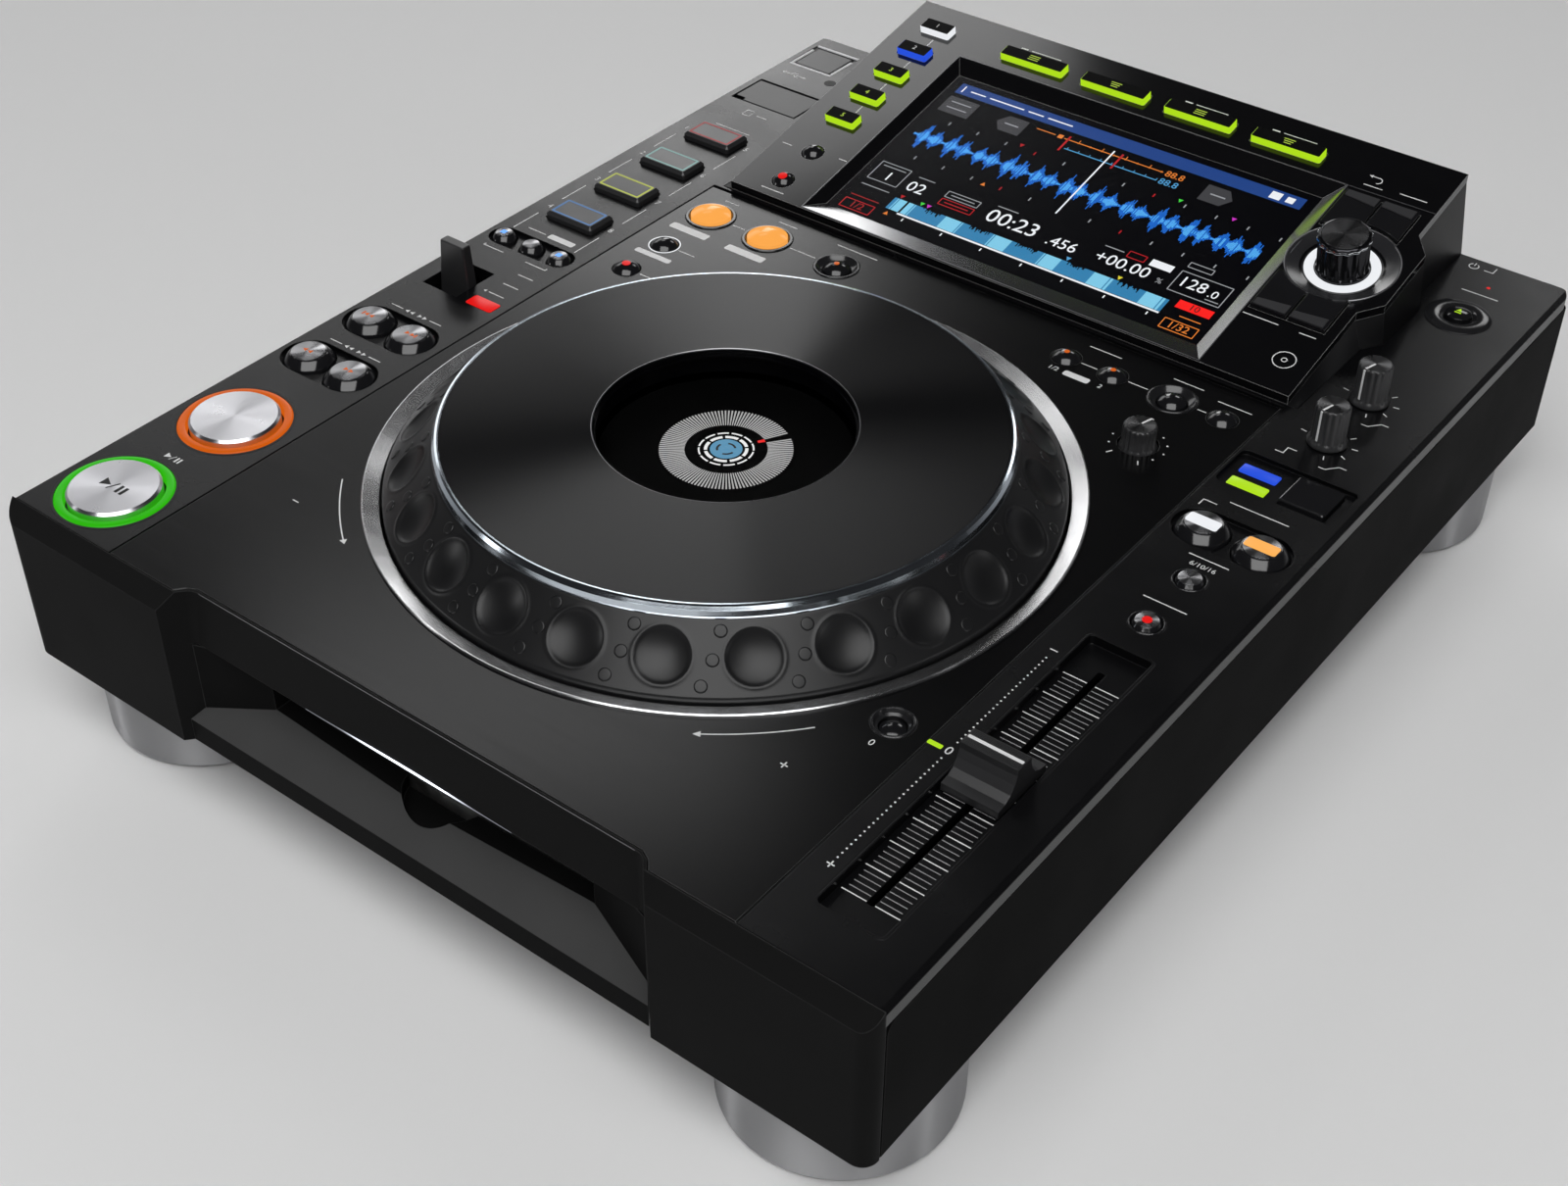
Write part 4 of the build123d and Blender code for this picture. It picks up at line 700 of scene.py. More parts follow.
def light_ring(name, node, material):
    x, y = middle(node)
    profile = [(17.9, -2.9), (17.9, -0.2), (17.5, 0.3), (16.9, 0.5)]
    profile += [(15.8, 0.5), (15.2, 0.25), (15.0, -0.3), (15.0, -2.9)]
    Solid().lathe(profile, x, y, 96, True, deck_z).make(name, "base", "lit_keys", material)
    seat = Solid(deck_z - 0.2, deck_z + 0.06).ring(x, y, 17.95, 18.7, 96)
    seat.make(name + "_seat", "base", "black_gloss", "black_ink")


def collars():
    """Black collars round the loop buttons, the dished buttons and the eject button."""
    collar = Solid()
    profile = [(9.15, -2.0), (9.15, 0.25), (8.9, 0.5), (8.0, 0.5), (7.55, -0.4), (7.55, -2.0)]
    for x, y in loop_at:
        collar.lathe(profile, x, y, 64, True, deck_z)
    for node, outer, hole in (
        ("reloop_button", 8.15, 5.15), ("delete_button", 8.15, 5.15), ("tempo_reset_button", 6.25, 4.05),
    ):
        profile = [(outer, -2.0), (outer, 0.2), (outer - 0.3, 0.4), (outer - 0.8, 0.4)]
        profile += [(hole + 0.8, -0.9), (hole, -1.3), (hole, -2.0)]
        collar.lathe(profile, *middle(node), 64, True, deck_z)
    profile = [(11.2, -0.2), (11.2, 0.15), (10.7, 0.45), (9.8, 0.75)]
    profile += [(8.2, 0.95), (6.4, 0.8), (5.1, 0.35), (4.65, -0.2)]
    collar.lathe(profile, *middle("eject_button"), 64, True, deck_z)
    collar.make("button_collars", "base", "black_gloss", "ring_gloss", replaces=["button_rings"])


light_ring("play_light_ring", "play_button", "green_light")
light_ring("cue_light_ring", "cue_button", "orange_light")
collars()


# ------------------------------------------------------------------ cone buttons and lamps
CONE = [(9.1, -6.0), (9.1, -4.9), (8.5, -4.9), (8.5, -0.7), (8.35, -0.45), (6.3, 1.65), (5.95, 1.85), (5.6, 1.85)]
CONE_CAP = [(5.6, 1.8), (5.6, 2.1), (5.35, 2.2), (0.01, 2.2)]
BANK_CONE = [(5.7, -6.0), (5.7, -4.9), (4.5, -4.9), (4.5, -0.8), (4.35, -0.5), (3.3, 1.0), (3.0, 1.2), (2.9, 1.2)]
BANK_CAP = [(2.9, 1.15), (2.9, 1.45), (2.7, 1.55), (0.01, 1.6)]
CAP_Z = deck_z + 2.2


def spun_caps(name, node, places, profile, sides):
    """Spun metal caps, each with marks round its own centre."""
    for i, (x, y) in enumerate(places):
        metal = spun_metal(f"{name}_{i + 1}_spun", (0.3, 0.3, 0.31), 0.28, (x, y, deck_z), 0.9)
        cap = Solid().lathe(profile, x, y, sides, z=deck_z)
        cap.make(f"{name}_top_{i + 1}", node, "spun_metal", metal)


def cone_buttons(name, node, places, cone=CONE, cap=CONE_CAP, sides=64):
    """Black cones with flat spun tops, each standing in the shared recess."""
    cones = Solid()
    for x, y in places:
        cones.lathe(cone, x, y, sides, z=deck_z)
    cones.make(name + "_cones", node, "black_gloss", "button_gloss", replaces=[node])
    spun_caps(name, node, places, cap, sides - 16)


def lamps(name, node, material, places, profile, sides):
    """Small round lamps, with profiles of (radius, height above the deck)."""
    lamp = Solid()
    for x, y in places:
        lamp.lathe(profile, x, y, sides, z=deck_z)
    lamp.make(name, node, "lit_keys", material)


# ------------------------------------------------------------------ left strip
def left_strip():
    for name in ("search", "track"):
        cone_buttons(name, name + "_buttons", pair(name + "_buttons"))
    for name in ("search", "track"):
        node = name + "_buttons"
        marks = Solid(CAP_Z - 0.05, CAP_Z + 0.05)
        for (x, y), way in zip(pair(node), (-1, 1)):
            for shift in (-1.1, 1.1):
                marks.triangle(x + shift, y, 1.0, 90 - 90 * way)
            if name == "track":
                marks.bar(x + way * 2.7, y, 0.5, 1.8)
        marks.make(name + "_marks", node, "lit_keys", "orange_light")

    x, y = middle("play_button")
    sign = print_on(top("play_button")).triangle(x - 3.6, y, 2.1, 0)
    sign.line(x - 1.2, y - 2.0, x + 0.8, y + 2.0, 0.45)
    for shift in (2.6, 4.6):
        sign.bar(x + shift, y, 1.1, 3.6)
    sign.make("play_sign", "play_button", "black_gloss", "black_ink")

    # hot cue pads: a lit outline on each top
    for letter, color in zip("abcd", ("red", "teal", "lime", "blue")):
        node = f"hot_cue_{letter}"
        outline = print_on(top(node)).frame(*middle(node), 18.4, 9.6, 0.7, 0.75)
        outline.make(f"{node}_outline", node, "lit_keys", f"{color}_line")

    low, high = box("bank_buttons")
    r, y = (high.y - low.y) / 2, (low.y + high.y) / 2
    bank = [(x, y) for x in (low.x + r, (low.x + high.x) / 2, high.x - r)]
    cone_buttons("bank", "bank_buttons", bank, BANK_CONE, BANK_CAP, 48)
    bank_lamps = Solid(deck_z + 1.55, deck_z + 1.68)
    for x, y in bank[::2]:
        bank_lamps.bar(x, y, 2.0, 2.0)
    bank_lamps.make("bank_lamps", "bank_buttons", "lit_keys", "sky_lamp")

    lamp = Solid().pad(-125.2, -32.9, 11.5, 5.8, 1.0, [(0, -0.1), (0, 0.1), (0.25, 0.22)], 5, deck_z)
    lamp.make("direction_lamp", "base", "lit_keys", "red_light")

    door_frame = Solid()
    low, high = box("usb_door")
    x0, x1, y0, y1 = low.x + 1.2, high.x - 1.2, low.y, high.y
    for x, y, w, h in (
        ((x0 + x1) / 2, y0 - 1.0, x1 - x0 + 3.2, 1.2),
        ((x0 + x1) / 2, y1 + 1.7, x1 - x0 + 3.2, 1.2),
        (x0 - 1.0, (y0 + y1) / 2 - 1.2, 1.2, y1 - y0 - 2.2),
        (x1 + 1.0, (y0 + y1) / 2 - 1.2, 1.2, y1 - y0 - 2.2),
    ):
        door_frame.pad(x, y, w, h, 0.3, [(0, -0.38), (0, 0.0), (0.2, 0.15)], 3, deck_z)
    door_frame.make("usb_frame", "base", "lit_keys", "frame_grey")
    # painted shade: a flat black disc on the deck stands for the shaded inside of the strap hole
    print_on(deck_z).disc(-132.0, 171.0, 2.4, 32).make("strap_hole_painted_shade", "base", "black_case", "black_ink")

    prints = print_on(deck_z)
    strip_x = -138.0
    for side in (-1, 1):
        # bracket under the bank buttons
        inner, outer = strip_x + side * 5.2, strip_x + side * 14.4
        prints.line(inner, -4.0, outer, -4.0, 0.4).line(outer, -4.2, outer, -2.9, 0.4)
        # arrow signs over the search buttons, and a line each side of them
        for y in (-51.6, -79.4):
            for shift in (0.0, 2.2):
                prints.triangle(strip_x + side * (1.6 + shift), y, 0.95, 90 - side * 90)
            prints.line(strip_x + side * 6.2, y, strip_x + side * 11.5, y)
    # play and pause sign
    prints.triangle(-140.0, -155.6, 1.35, 0).line(-138.3, -156.8, -137.1, -154.4, 0.3)
    for x in (-135.9, -134.6):
        prints.bar(x, -155.6, 0.65, 2.4)
    # direction marks
    for y in (-11.6, -19.0, -26.0):
        prints.line(-129.0, y, -122.2, y, 0.4)
    prints.triangle(-130.6, -26.0, 0.8, 180)
    # hot cue lines and figures
    for i in range(4):
        y = 106.6 - 25.6 * i
        for x, figure in ((-152.5, str(i + 1)), (-123.7, str(i + 5))):
            prints.text(figure, x, y + 0.6, 3.6).line(x, y - 5.8, x, y - 18.6, 0.4)
    prints.line(-146.0, 117.0, -130.0, 117.0, 0.4).line(-148.0, 14.2, -139.8, 14.2, 0.4)
    prints.pad(-132.6, 14.4, 11.6, 2.8, 0.7)
    # card sign in front of the card door, fork sign in front of the stick port
    prints.frame(-141.6, 131.2, 3.6, 4.4, 0.6, 0.35, 3).line(-137.5, 131.2, -132.8, 131.2, 0.4)
    y = 168.2
    prints.line(-152.0, y, -143.2, y).triangle(-142.8, y, 0.8, 0)
    for x, rise in ((-149.4, 1.3), (-147.8, -1.3)):
        prints.line(x, y, x + 1.2, y + rise, 0.3).line(x + 1.2, y + rise, x + 3.0, y + rise, 0.3)
    prints.ring(-152.4, y, 0.2, 0.75, 16)
    prints.make("left_prints", "base", "clear", "white_ink", weld=True)


left_strip()


# ------------------------------------------------------------------ deck
def deck_controls():
    domes = Solid()
    for x, y in loop_at:
        domes.lathe([(8.35, -6.0), (8.35, -4.9), (7.2, -4.9)] + dome(7.2, 1.9, 1.2, 9), x, y, 64, z=deck_z)
    domes.make("loop_domes", "loop_buttons", "lit_keys", "amber_dome", replaces=["loop_buttons"])
    ring = Solid(deck_z + SUNK, deck_z + PROUD + 0.1).ring(*cutter_at, 5.35, 5.75, 48)
    ring.make("cutter_ring", "base", "chrome", "white_light")
    lamps("call_lamps", "call_buttons", "orange_light", call_at, [(0.95, 2.1), (0.95, 2.32), (0.01, 2.36)], 16)
    reloop_at = [middle("reloop_button")]
    lamps("reloop_lamp", "reloop_button", "orange_light", reloop_at, [(0.95, 1.25), (0.95, 1.46), (0.01, 1.5)], 16)
    lamps("slip_lamp", "loop_cut_slip_buttons", "red_light", [slip_at], [(1.5, 2.05), (1.5, 2.3), (0.01, 2.4)], 20)

    prints = print_on(deck_z)
    # link lines between the buttons of each row
    for x0, x1, y in (
        (-92.2, -86.8, 60.3), (-66.6, -55.6, 60.3), (52.2, 58.2, 61.0), (69.8, 77.0, 61.0), (95.0, 98.2, 61.0),
    ):
        prints.line(x0, y, x1, y)
    # label blocks and rules in place of captions
    for x, y, w, h in (
        (-101.8, 47.6, 16.5, 3.6),
        (-76.7, 47.6, 16.5, 3.6),
        (-101.0, 26.8, 15.5, 2.6),
        (55.2, 53.0, 9.5, 2.8),
    ):
        prints.pad(x, y, w, h, 0.8)
    for x, y, w in (
        (-102.3, 72.4, 6), (-76.7, 72.4, 8), (-46.3, 72.4, 17), (55.2, 71.4, 12),
        (86.0, 71.6, 11), (104.0, 69.0, 12), (-92.5, 34.8, 7), (-93.5, 14.5, 6),
    ):
        prints.bar(x, y, w, 0.38)
    prints.text("1/2", 46.5, 53.0, 3.0).text("2", 64.0, 53.0, 3.0)
    # direction arcs beside the jog wheel
    for start, end, tip, way in ((219.5, 234.5, 234.8, 324), (305.5, 320.5, 305.2, 216)):
        prints.arc(0, jog_y, 115.4, 115.8, start, end, 16)
        t = math.radians(tip)
        prints.triangle(115.6 * math.cos(t), jog_y + 115.6 * math.sin(t), 1.3, way)
    for x, w, h in ((-92.0, 2.4, 0.4), (91.5, 2.4, 0.4), (91.5, 0.4, 2.4)):
        prints.bar(x, -147.5, w, h)
    # dot scale of the jog adjust knob, with a line at each end
    x, y = middle("jog_adjust_knob")
    for k in range(11):
        t = math.radians(240 - 30 * k)
        c, s = math.cos(t), math.sin(t)
        if k in (0, 10):
            prints.line(x + 9.0 * c, y + 9.0 * s, x + 11.2 * c, y + 11.2 * s, 0.4)
        else:
            prints.disc(x + 9.0 * c, y + 9.0 * s, 0.35, 12)
    prints.text("0", middle("tempo_reset_button")[0], -126.8, 3.4)
    prints.make("deck_prints", "base", "clear", "white_ink", weld=True)


def knob(name, node, base, height, skirt_r, r, flutes, pointer):
    """A fluted knob with a pointer line on its top and down its side."""
    x, y = middle(node)
    rings = []
    for inset, z, groove in (
        (r - skirt_r, base, 0.0),
        (r - skirt_r, base + 0.6, 0.0),
        (-0.25, base + 1.7, 0.15),
        (0.0, base + 2.2, 1.0),
        (0.0, height - 0.9, 1.0),
        (0.12, height - 0.5, 0.9),
        (0.45, height - 0.1, 0.35),
        (0.8, height, 0.0),
    ):
        rings.append(fluted(x, y, r - inset, z, flutes, groove * 0.42, flutes * 8, 1.5))
    body = Solid().stack(rings).lathe([(3.0, base - 8.0), (3.0, base + 0.02)], x, y, 24)
    body.make(name, node, "black_case", "knob_plastic", sharp=50, replaces=[node])
    face = Solid().lathe([(r - 0.8, -0.02), (r - 0.85, 0.08), (0.01, 0.08)], x, y, 48, z=height)
    metal = spun_metal(name + "_spun", (0.13, 0.13, 0.133), 0.28, (x, y, height))
    face.make(name + "_face", node, "spun_metal", metal)
    t = math.radians(pointer)
    c, s = math.cos(t), math.sin(t)
    mark = Solid(height + 0.05, height + 0.16)
    mark.line(x + 0.6 * c, y + 0.6 * s, x + (r - 0.5) * c, y + (r - 0.5) * s, 0.7)
    mark.span = (base + 2.4, height - 0.3)
    mark.line(x + (r - 0.3) * c, y + (r - 0.3) * s, x + (r + 0.12) * c, y + (r + 0.12) * s, 0.7)
    mark.make(name + "_pointer", node, "clear", "white_ink")


deck_controls()
knob("adjust_knob", "jog_adjust_knob", deck_z - 1.5, deck_z + 7.4, 6.2, 5.4, 18, 75)
for name in ("release", "start"):
    knob(f"{name}_tall_knob", f"{name}_speed_knob", deck_z + 0.4, deck_z + 14.0, 6.4, 5.5, 16, 255)


# ------------------------------------------------------------------ right strip
def right_strip():
    cone_buttons("sync", "sync_buttons", sync_at)
    for (x, y), name, material in zip(sync_at, ("sync_plate", "lead_plate"), ("white_light", "lead_light")):
        plate = Solid().pad(x, y, 10.4, 4.8, 0.9, [(0, -0.05), (0, 0.08), (0.15, 0.14)], z=CAP_Z)
        plate.make(name, "sync_buttons", "lit_keys", material)

    x, y = middle("eject_button")
    z = top("eject_button")
    sign = Solid(z - 0.25, z + 0.02).triangle(x, y + 0.35, 1.1, 90).bar(x, y - 1.1, 2.2, 0.5)
    sign.make("eject_sign", "eject_button", "lit_keys", "lime_light")

    for name, y, material in (("mode_lamp_upper", 44.0, "blue_light"), ("mode_lamp_lower", 36.1, "lime_light")):
        lamp = Solid().pad(126.5, y, 12.6, 4.8, 0.6, [(0, 82.2), (0, 82.6), (0.2, 82.72)], 3)
        lamp.make(name, "base", "lit_keys", material)
    print_on(deck_z).disc(137.0, 187.0, 0.7, 16).make("standby_lamp", "base", "lit_keys", "red_light")
    bar = Solid(deck_z - 0.05, deck_z + 0.08).pad(117.7, -117.0, 4.5, 1.6, 0.4, steps=3)
    bar.make("tempo_lamp", "base", "lit_keys", "lime_light")

    tempo_at = pile("tempo_buttons")
    spun_caps("tempo", "tempo_buttons", tempo_at, [(3.5, 0.7), (3.5, 0.95), (3.2, 1.05), (0.01, 1.1)], 40)
    rims = Solid()
    for x, y in tempo_at:
        rims.lathe([(5.35, -0.8), (5.35, 0.02), (5.05, 0.2), (4.75, 0.05), (4.7, -0.8)], x, y, 48, True, deck_z)
    rims.make("tempo_rims", "base", "black_gloss", "ring_gloss")
    hold_lamp = [(1.5, 1.0), (1.5, 1.2), (0.01, 1.25)]
    lamps("tempo_hold_lamp", "tempo_buttons", "red_light", tempo_at[1:], hold_lamp, 24)

    prints = print_on(deck_z)
    # power sign
    prints.arc(127.0, 197.6, 1.5, 1.85, 120, 420, 20).bar(127.0, 199.0, 0.35, 1.9)
    # bracket and steps beside the power sign, the sync buttons and the speed knobs
    for x0, y0, x1, y1 in (
        (131.0, 197.0, 134.2, 197.0), (134.2, 196.9, 134.2, 200.6),
        (120.0, 17.5, 120.0, 20.6), (119.9, 20.6, 124.5, 20.6),
        (124.6, 56.6, 127.4, 56.6), (127.4, 56.4, 127.4, 60.2), (127.4, 60.0, 130.4, 60.0),
        (139.4, 56.6, 141.6, 56.6), (141.6, 56.6, 144.6, 60.2), (144.6, 60.2, 147.0, 60.2),
        (139.4, 85.6, 141.6, 85.6), (141.6, 85.6, 144.6, 89.2), (144.6, 89.2, 147.0, 89.2),
    ):
        prints.line(x0, y0, x1, y1)
    for y, x0, x1 in ((181.0, 130.0, 143.0), (-5.0, 129.5, 142.5), (-30.0, 129.0, 143.0), (24.0, 127.0, 146.5)):
        prints.line(x0, y, x1, y, 0.4)
    prints.text("6/10/16", 136.0, -8.6, 2.8)
    # knob scales
    for cy in (99.0, 70.0):
        for k in range(7):
            t = math.radians(40 * k - 70)
            c, s = math.cos(t), math.sin(t)
            prints.line(135.5 + 7.8 * c, cy + 7.8 * s, 135.5 + 9.8 * c, cy + 9.8 * s)
    # tempo scale: dots from minus to plus, with a nought in the middle
    for k in range(52):
        y = -69.9 - 1.87 * k
        if abs(y + 117) > 3:
            prints.disc(122.0, y, 0.3, 10)
    prints.text("0", 122.0, -117.0, 4.4)
    for y, w, h in ((-66.0, 2.4, 0.4), (-168.2, 2.4, 0.4), (-168.2, 0.4, 2.4)):
        prints.bar(122.0, y, w, h)
    prints.make("right_prints", "base", "clear", "white_ink", weld=True)

    track_floor = 80.9
    long_ticks, short_ticks = print_on(track_floor), print_on(track_floor)
    for k in range(51):
        y = -69.0 - 2.03 * k
        for side in (-1, 1):
            if k % 5 == 0:
                long_ticks.bar(136 + side * 5.1, y, 7.6, 0.35)
            else:
                short_ticks.bar(136 + side * 4.7, y, 6.6, 0.25)
    long_ticks.make("fader_long_ticks", "base", "clear", "white_ink")
    short_ticks.make("fader_short_ticks", "base", "clear", "grey_ink")
    x, y = middle("tempo_fader")
    z = top("tempo_fader")
    print_on(z).pad(x, y, 16.9, 1.1, 0.3, steps=3).make("fader_line", "tempo_fader", "clear", "white_ink")
    grip = Solid(z - 0.05, z + 0.09)
    for side in (-1, 1):
        for k in range(4):
            grip.bar(x, y + side * (1.2 + 0.5 * k), 17.0, 0.2)
    grip.make("fader_grip", "tempo_fader", "black_case", "knob_plastic")


right_strip()


# ------------------------------------------------------------------ display panel
KEY_RISE = 2.4


def lit_key(x, y, w, h):
    """Glowing key with a black cap."""
    glow_top = KEY_RISE - 0.06
    key = Solid().pad(x, y, w, h, 0.7, [(0, -2.0), (0, KEY_RISE - 0.25), (0.22, glow_top), (0.3, glow_top)])
    key.paint = 1
    return key.pad(x, y, w, h, 0.7, [(0.24, KEY_RISE - 0.1), (0.26, KEY_RISE), (0.3, KEY_RISE)])


def panel_keys():
    source_x = middle("source_keys")[0]
    menu_at = [(-49.75 + 35.25 * i, -15.1) for i in range(4)]
    source_at = [(source_x, -14.6 - 15.5 * i) for i in range(5)]
    for group, places, size, lights in (
        ("menu", menu_at, (26.9, 5.9), ["lime_light"] * 4),
        ("source", source_at, (12.8, 6.1), ["white_light", "blue_light"] + ["lime_light"] * 3),
    ):
        node = group + "_keys"
        for i, ((x, y), material) in enumerate(zip(places, lights)):
            key = lit_key(x, y, *size)
            key.make(f"{group}_key_{i + 1}", node, "lit_keys", material, "key_black", place=PANEL, replaces=[node])
            sign = print_on(KEY_RISE)
            if group == "menu":
                for k in range(3):
                    sign.bar(x, y + 1.1 - 1.1 * k, 4.4 - 0.8 * (i % 2) * k, 0.35)
            else:
                sign.text(str(i + 1), x, y, 3.0)
            color = "lime_print" if material == "lime_light" else "white_ink"
            sign.make(f"{group}_sign_{i + 1}", node, "clear", color, place=PANEL, weld=True)

    prints = print_on(0.0)
    for i in range(4):
        prints.bar(source_x + 1.6, -22.3 - 15.5 * i, 0.4, 4.2)
    for i in (0, 2, 3):
        x = menu_at[i][0]
        prints.bar(x - 8.0, -9.0, 3.0, 0.6).line(x - 5.0, -9.0, x + 8.0, -9.0)
    # rules in place of the captions beside the round buttons and the selector's keys
    for x, y, w in (
        (-104.0, -98.0, 4.5), (-80.0, -96.0, 3.5), (-92.5, -122.0, 10.0), (91.5, -21.0, 7.0),
        (106.0, -20.0, 10.0), (91.0, -97.5, 13.0), (108.0, -97.5, 6.0),
    ):
        prints.bar(x, y, w, 0.38)
    # return arrow, and the disc sign
    prints.arc(91.5, -17.4, 1.3, 1.65, -90, 90, 10).line(91.5, -15.9, 88.8, -15.9).triangle(88.6, -15.9, 0.8, 180)
    prints.ring(107.0, -111.0, 3.6, 3.95, 40).ring(107.0, -111.0, 0.7, 1.05, 20)
    prints.make("panel_prints", "base", "clear", "white_ink", place=PANEL)
    lamp = Solid().lathe([(1.7, 1.7), (1.7, 2.05), (0.01, 2.25)], -92.5, -115.5, 24)
    lamp.make("panel_red_lamp", "panel_buttons", "lit_keys", "red_light", place=PANEL)


def screen_bevel():
    """Sloping frame round the screen: glossy black at the rear and left; in front and at the right the same black
    slopes get a pale metal colour that paints in a reflection of the lights.
    """

    def corners(x0, x1, y0, y1, z):
        return [(x0, y0, z), (x1, y0, z), (x1, y1, z), (x0, y1, z)]

    depth, lift, thick = 3.0, 0.04, 0.35
    outer = corners(-77.5, 83.5, -124.2, -24.0, lift)
    inner = corners(-73.0, 78.0, -115.8, -31.0, lift - depth)
    # the front and right slopes get the painted reflection
    for name, sides, material in (("bevel_dark", (2, 3), "panel_gloss"), ("bevel_bright", (0, 1), "bevel_painted_reflection")):
        strip = Solid()
        for k in sides:
            upper = [outer[k], outer[(k + 1) % 4], inner[(k + 1) % 4], inner[k]]
            strip.stack([[(x, y, z - thick) for x, y, z in upper], upper])
        strip.make(name, "base", "silver_plastic", material, place=PANEL)
    seam = print_on(0.0).frame(3.0, -74.1, 161.6, 100.8, 0.2, 0.35, 1).bar(100.0, -24.0, 32.0, 0.3)
    seam.make("panel_seam", "base", "silver_plastic", "seam_silver", place=PANEL)


panel_keys()
screen_bevel()


# ------------------------------------------------------------------ colour screen
SCREEN_LEFT, SCREEN_TOP, SCREEN_DEPTH = -73.0, -31.0, -3.0
SCREEN_W, SCREEN_H = 151.0, 84.8
LAYER, FILM = 0.06, 0.05


class Screen:
    """Draws on the screen in millimetres from its top left corner, y down; level lifts a shape above others."""

    def __init__(self):
        self.layers = {}

    def at(self, x, y):
        return SCREEN_LEFT + x, SCREEN_TOP - y

    def layer(self, name, level):
        solid = self.layers.setdefault(name, Solid())
        low = SCREEN_DEPTH + LAYER * level
        solid.span = (low, low + FILM)
        return solid

    def box(self, name, x0, x1, y0, y1, level=0):
        self.layer(name, level).bar(*self.at((x0 + x1) / 2, (y0 + y1) / 2), x1 - x0, y1 - y0)

    def outline(self, name, x0, x1, y0, y1):
        self.layer(name, 1).frame(*self.at((x0 + x1) / 2, (y0 + y1) / 2), x1 - x0, y1 - y0, 0.3, 0.35, 2)

    def figures(self, name, words, x, y, size, level=1):
        """Figures whose left edge is at x and whose middle is at y."""
        self.layer(name, level).text(words, *self.at(x, y), size, "LEFT")

    def arrow(self, name, x, y, turn):
        self.layer(name, 1).triangle(*self.at(x, y), 1.1, turn)


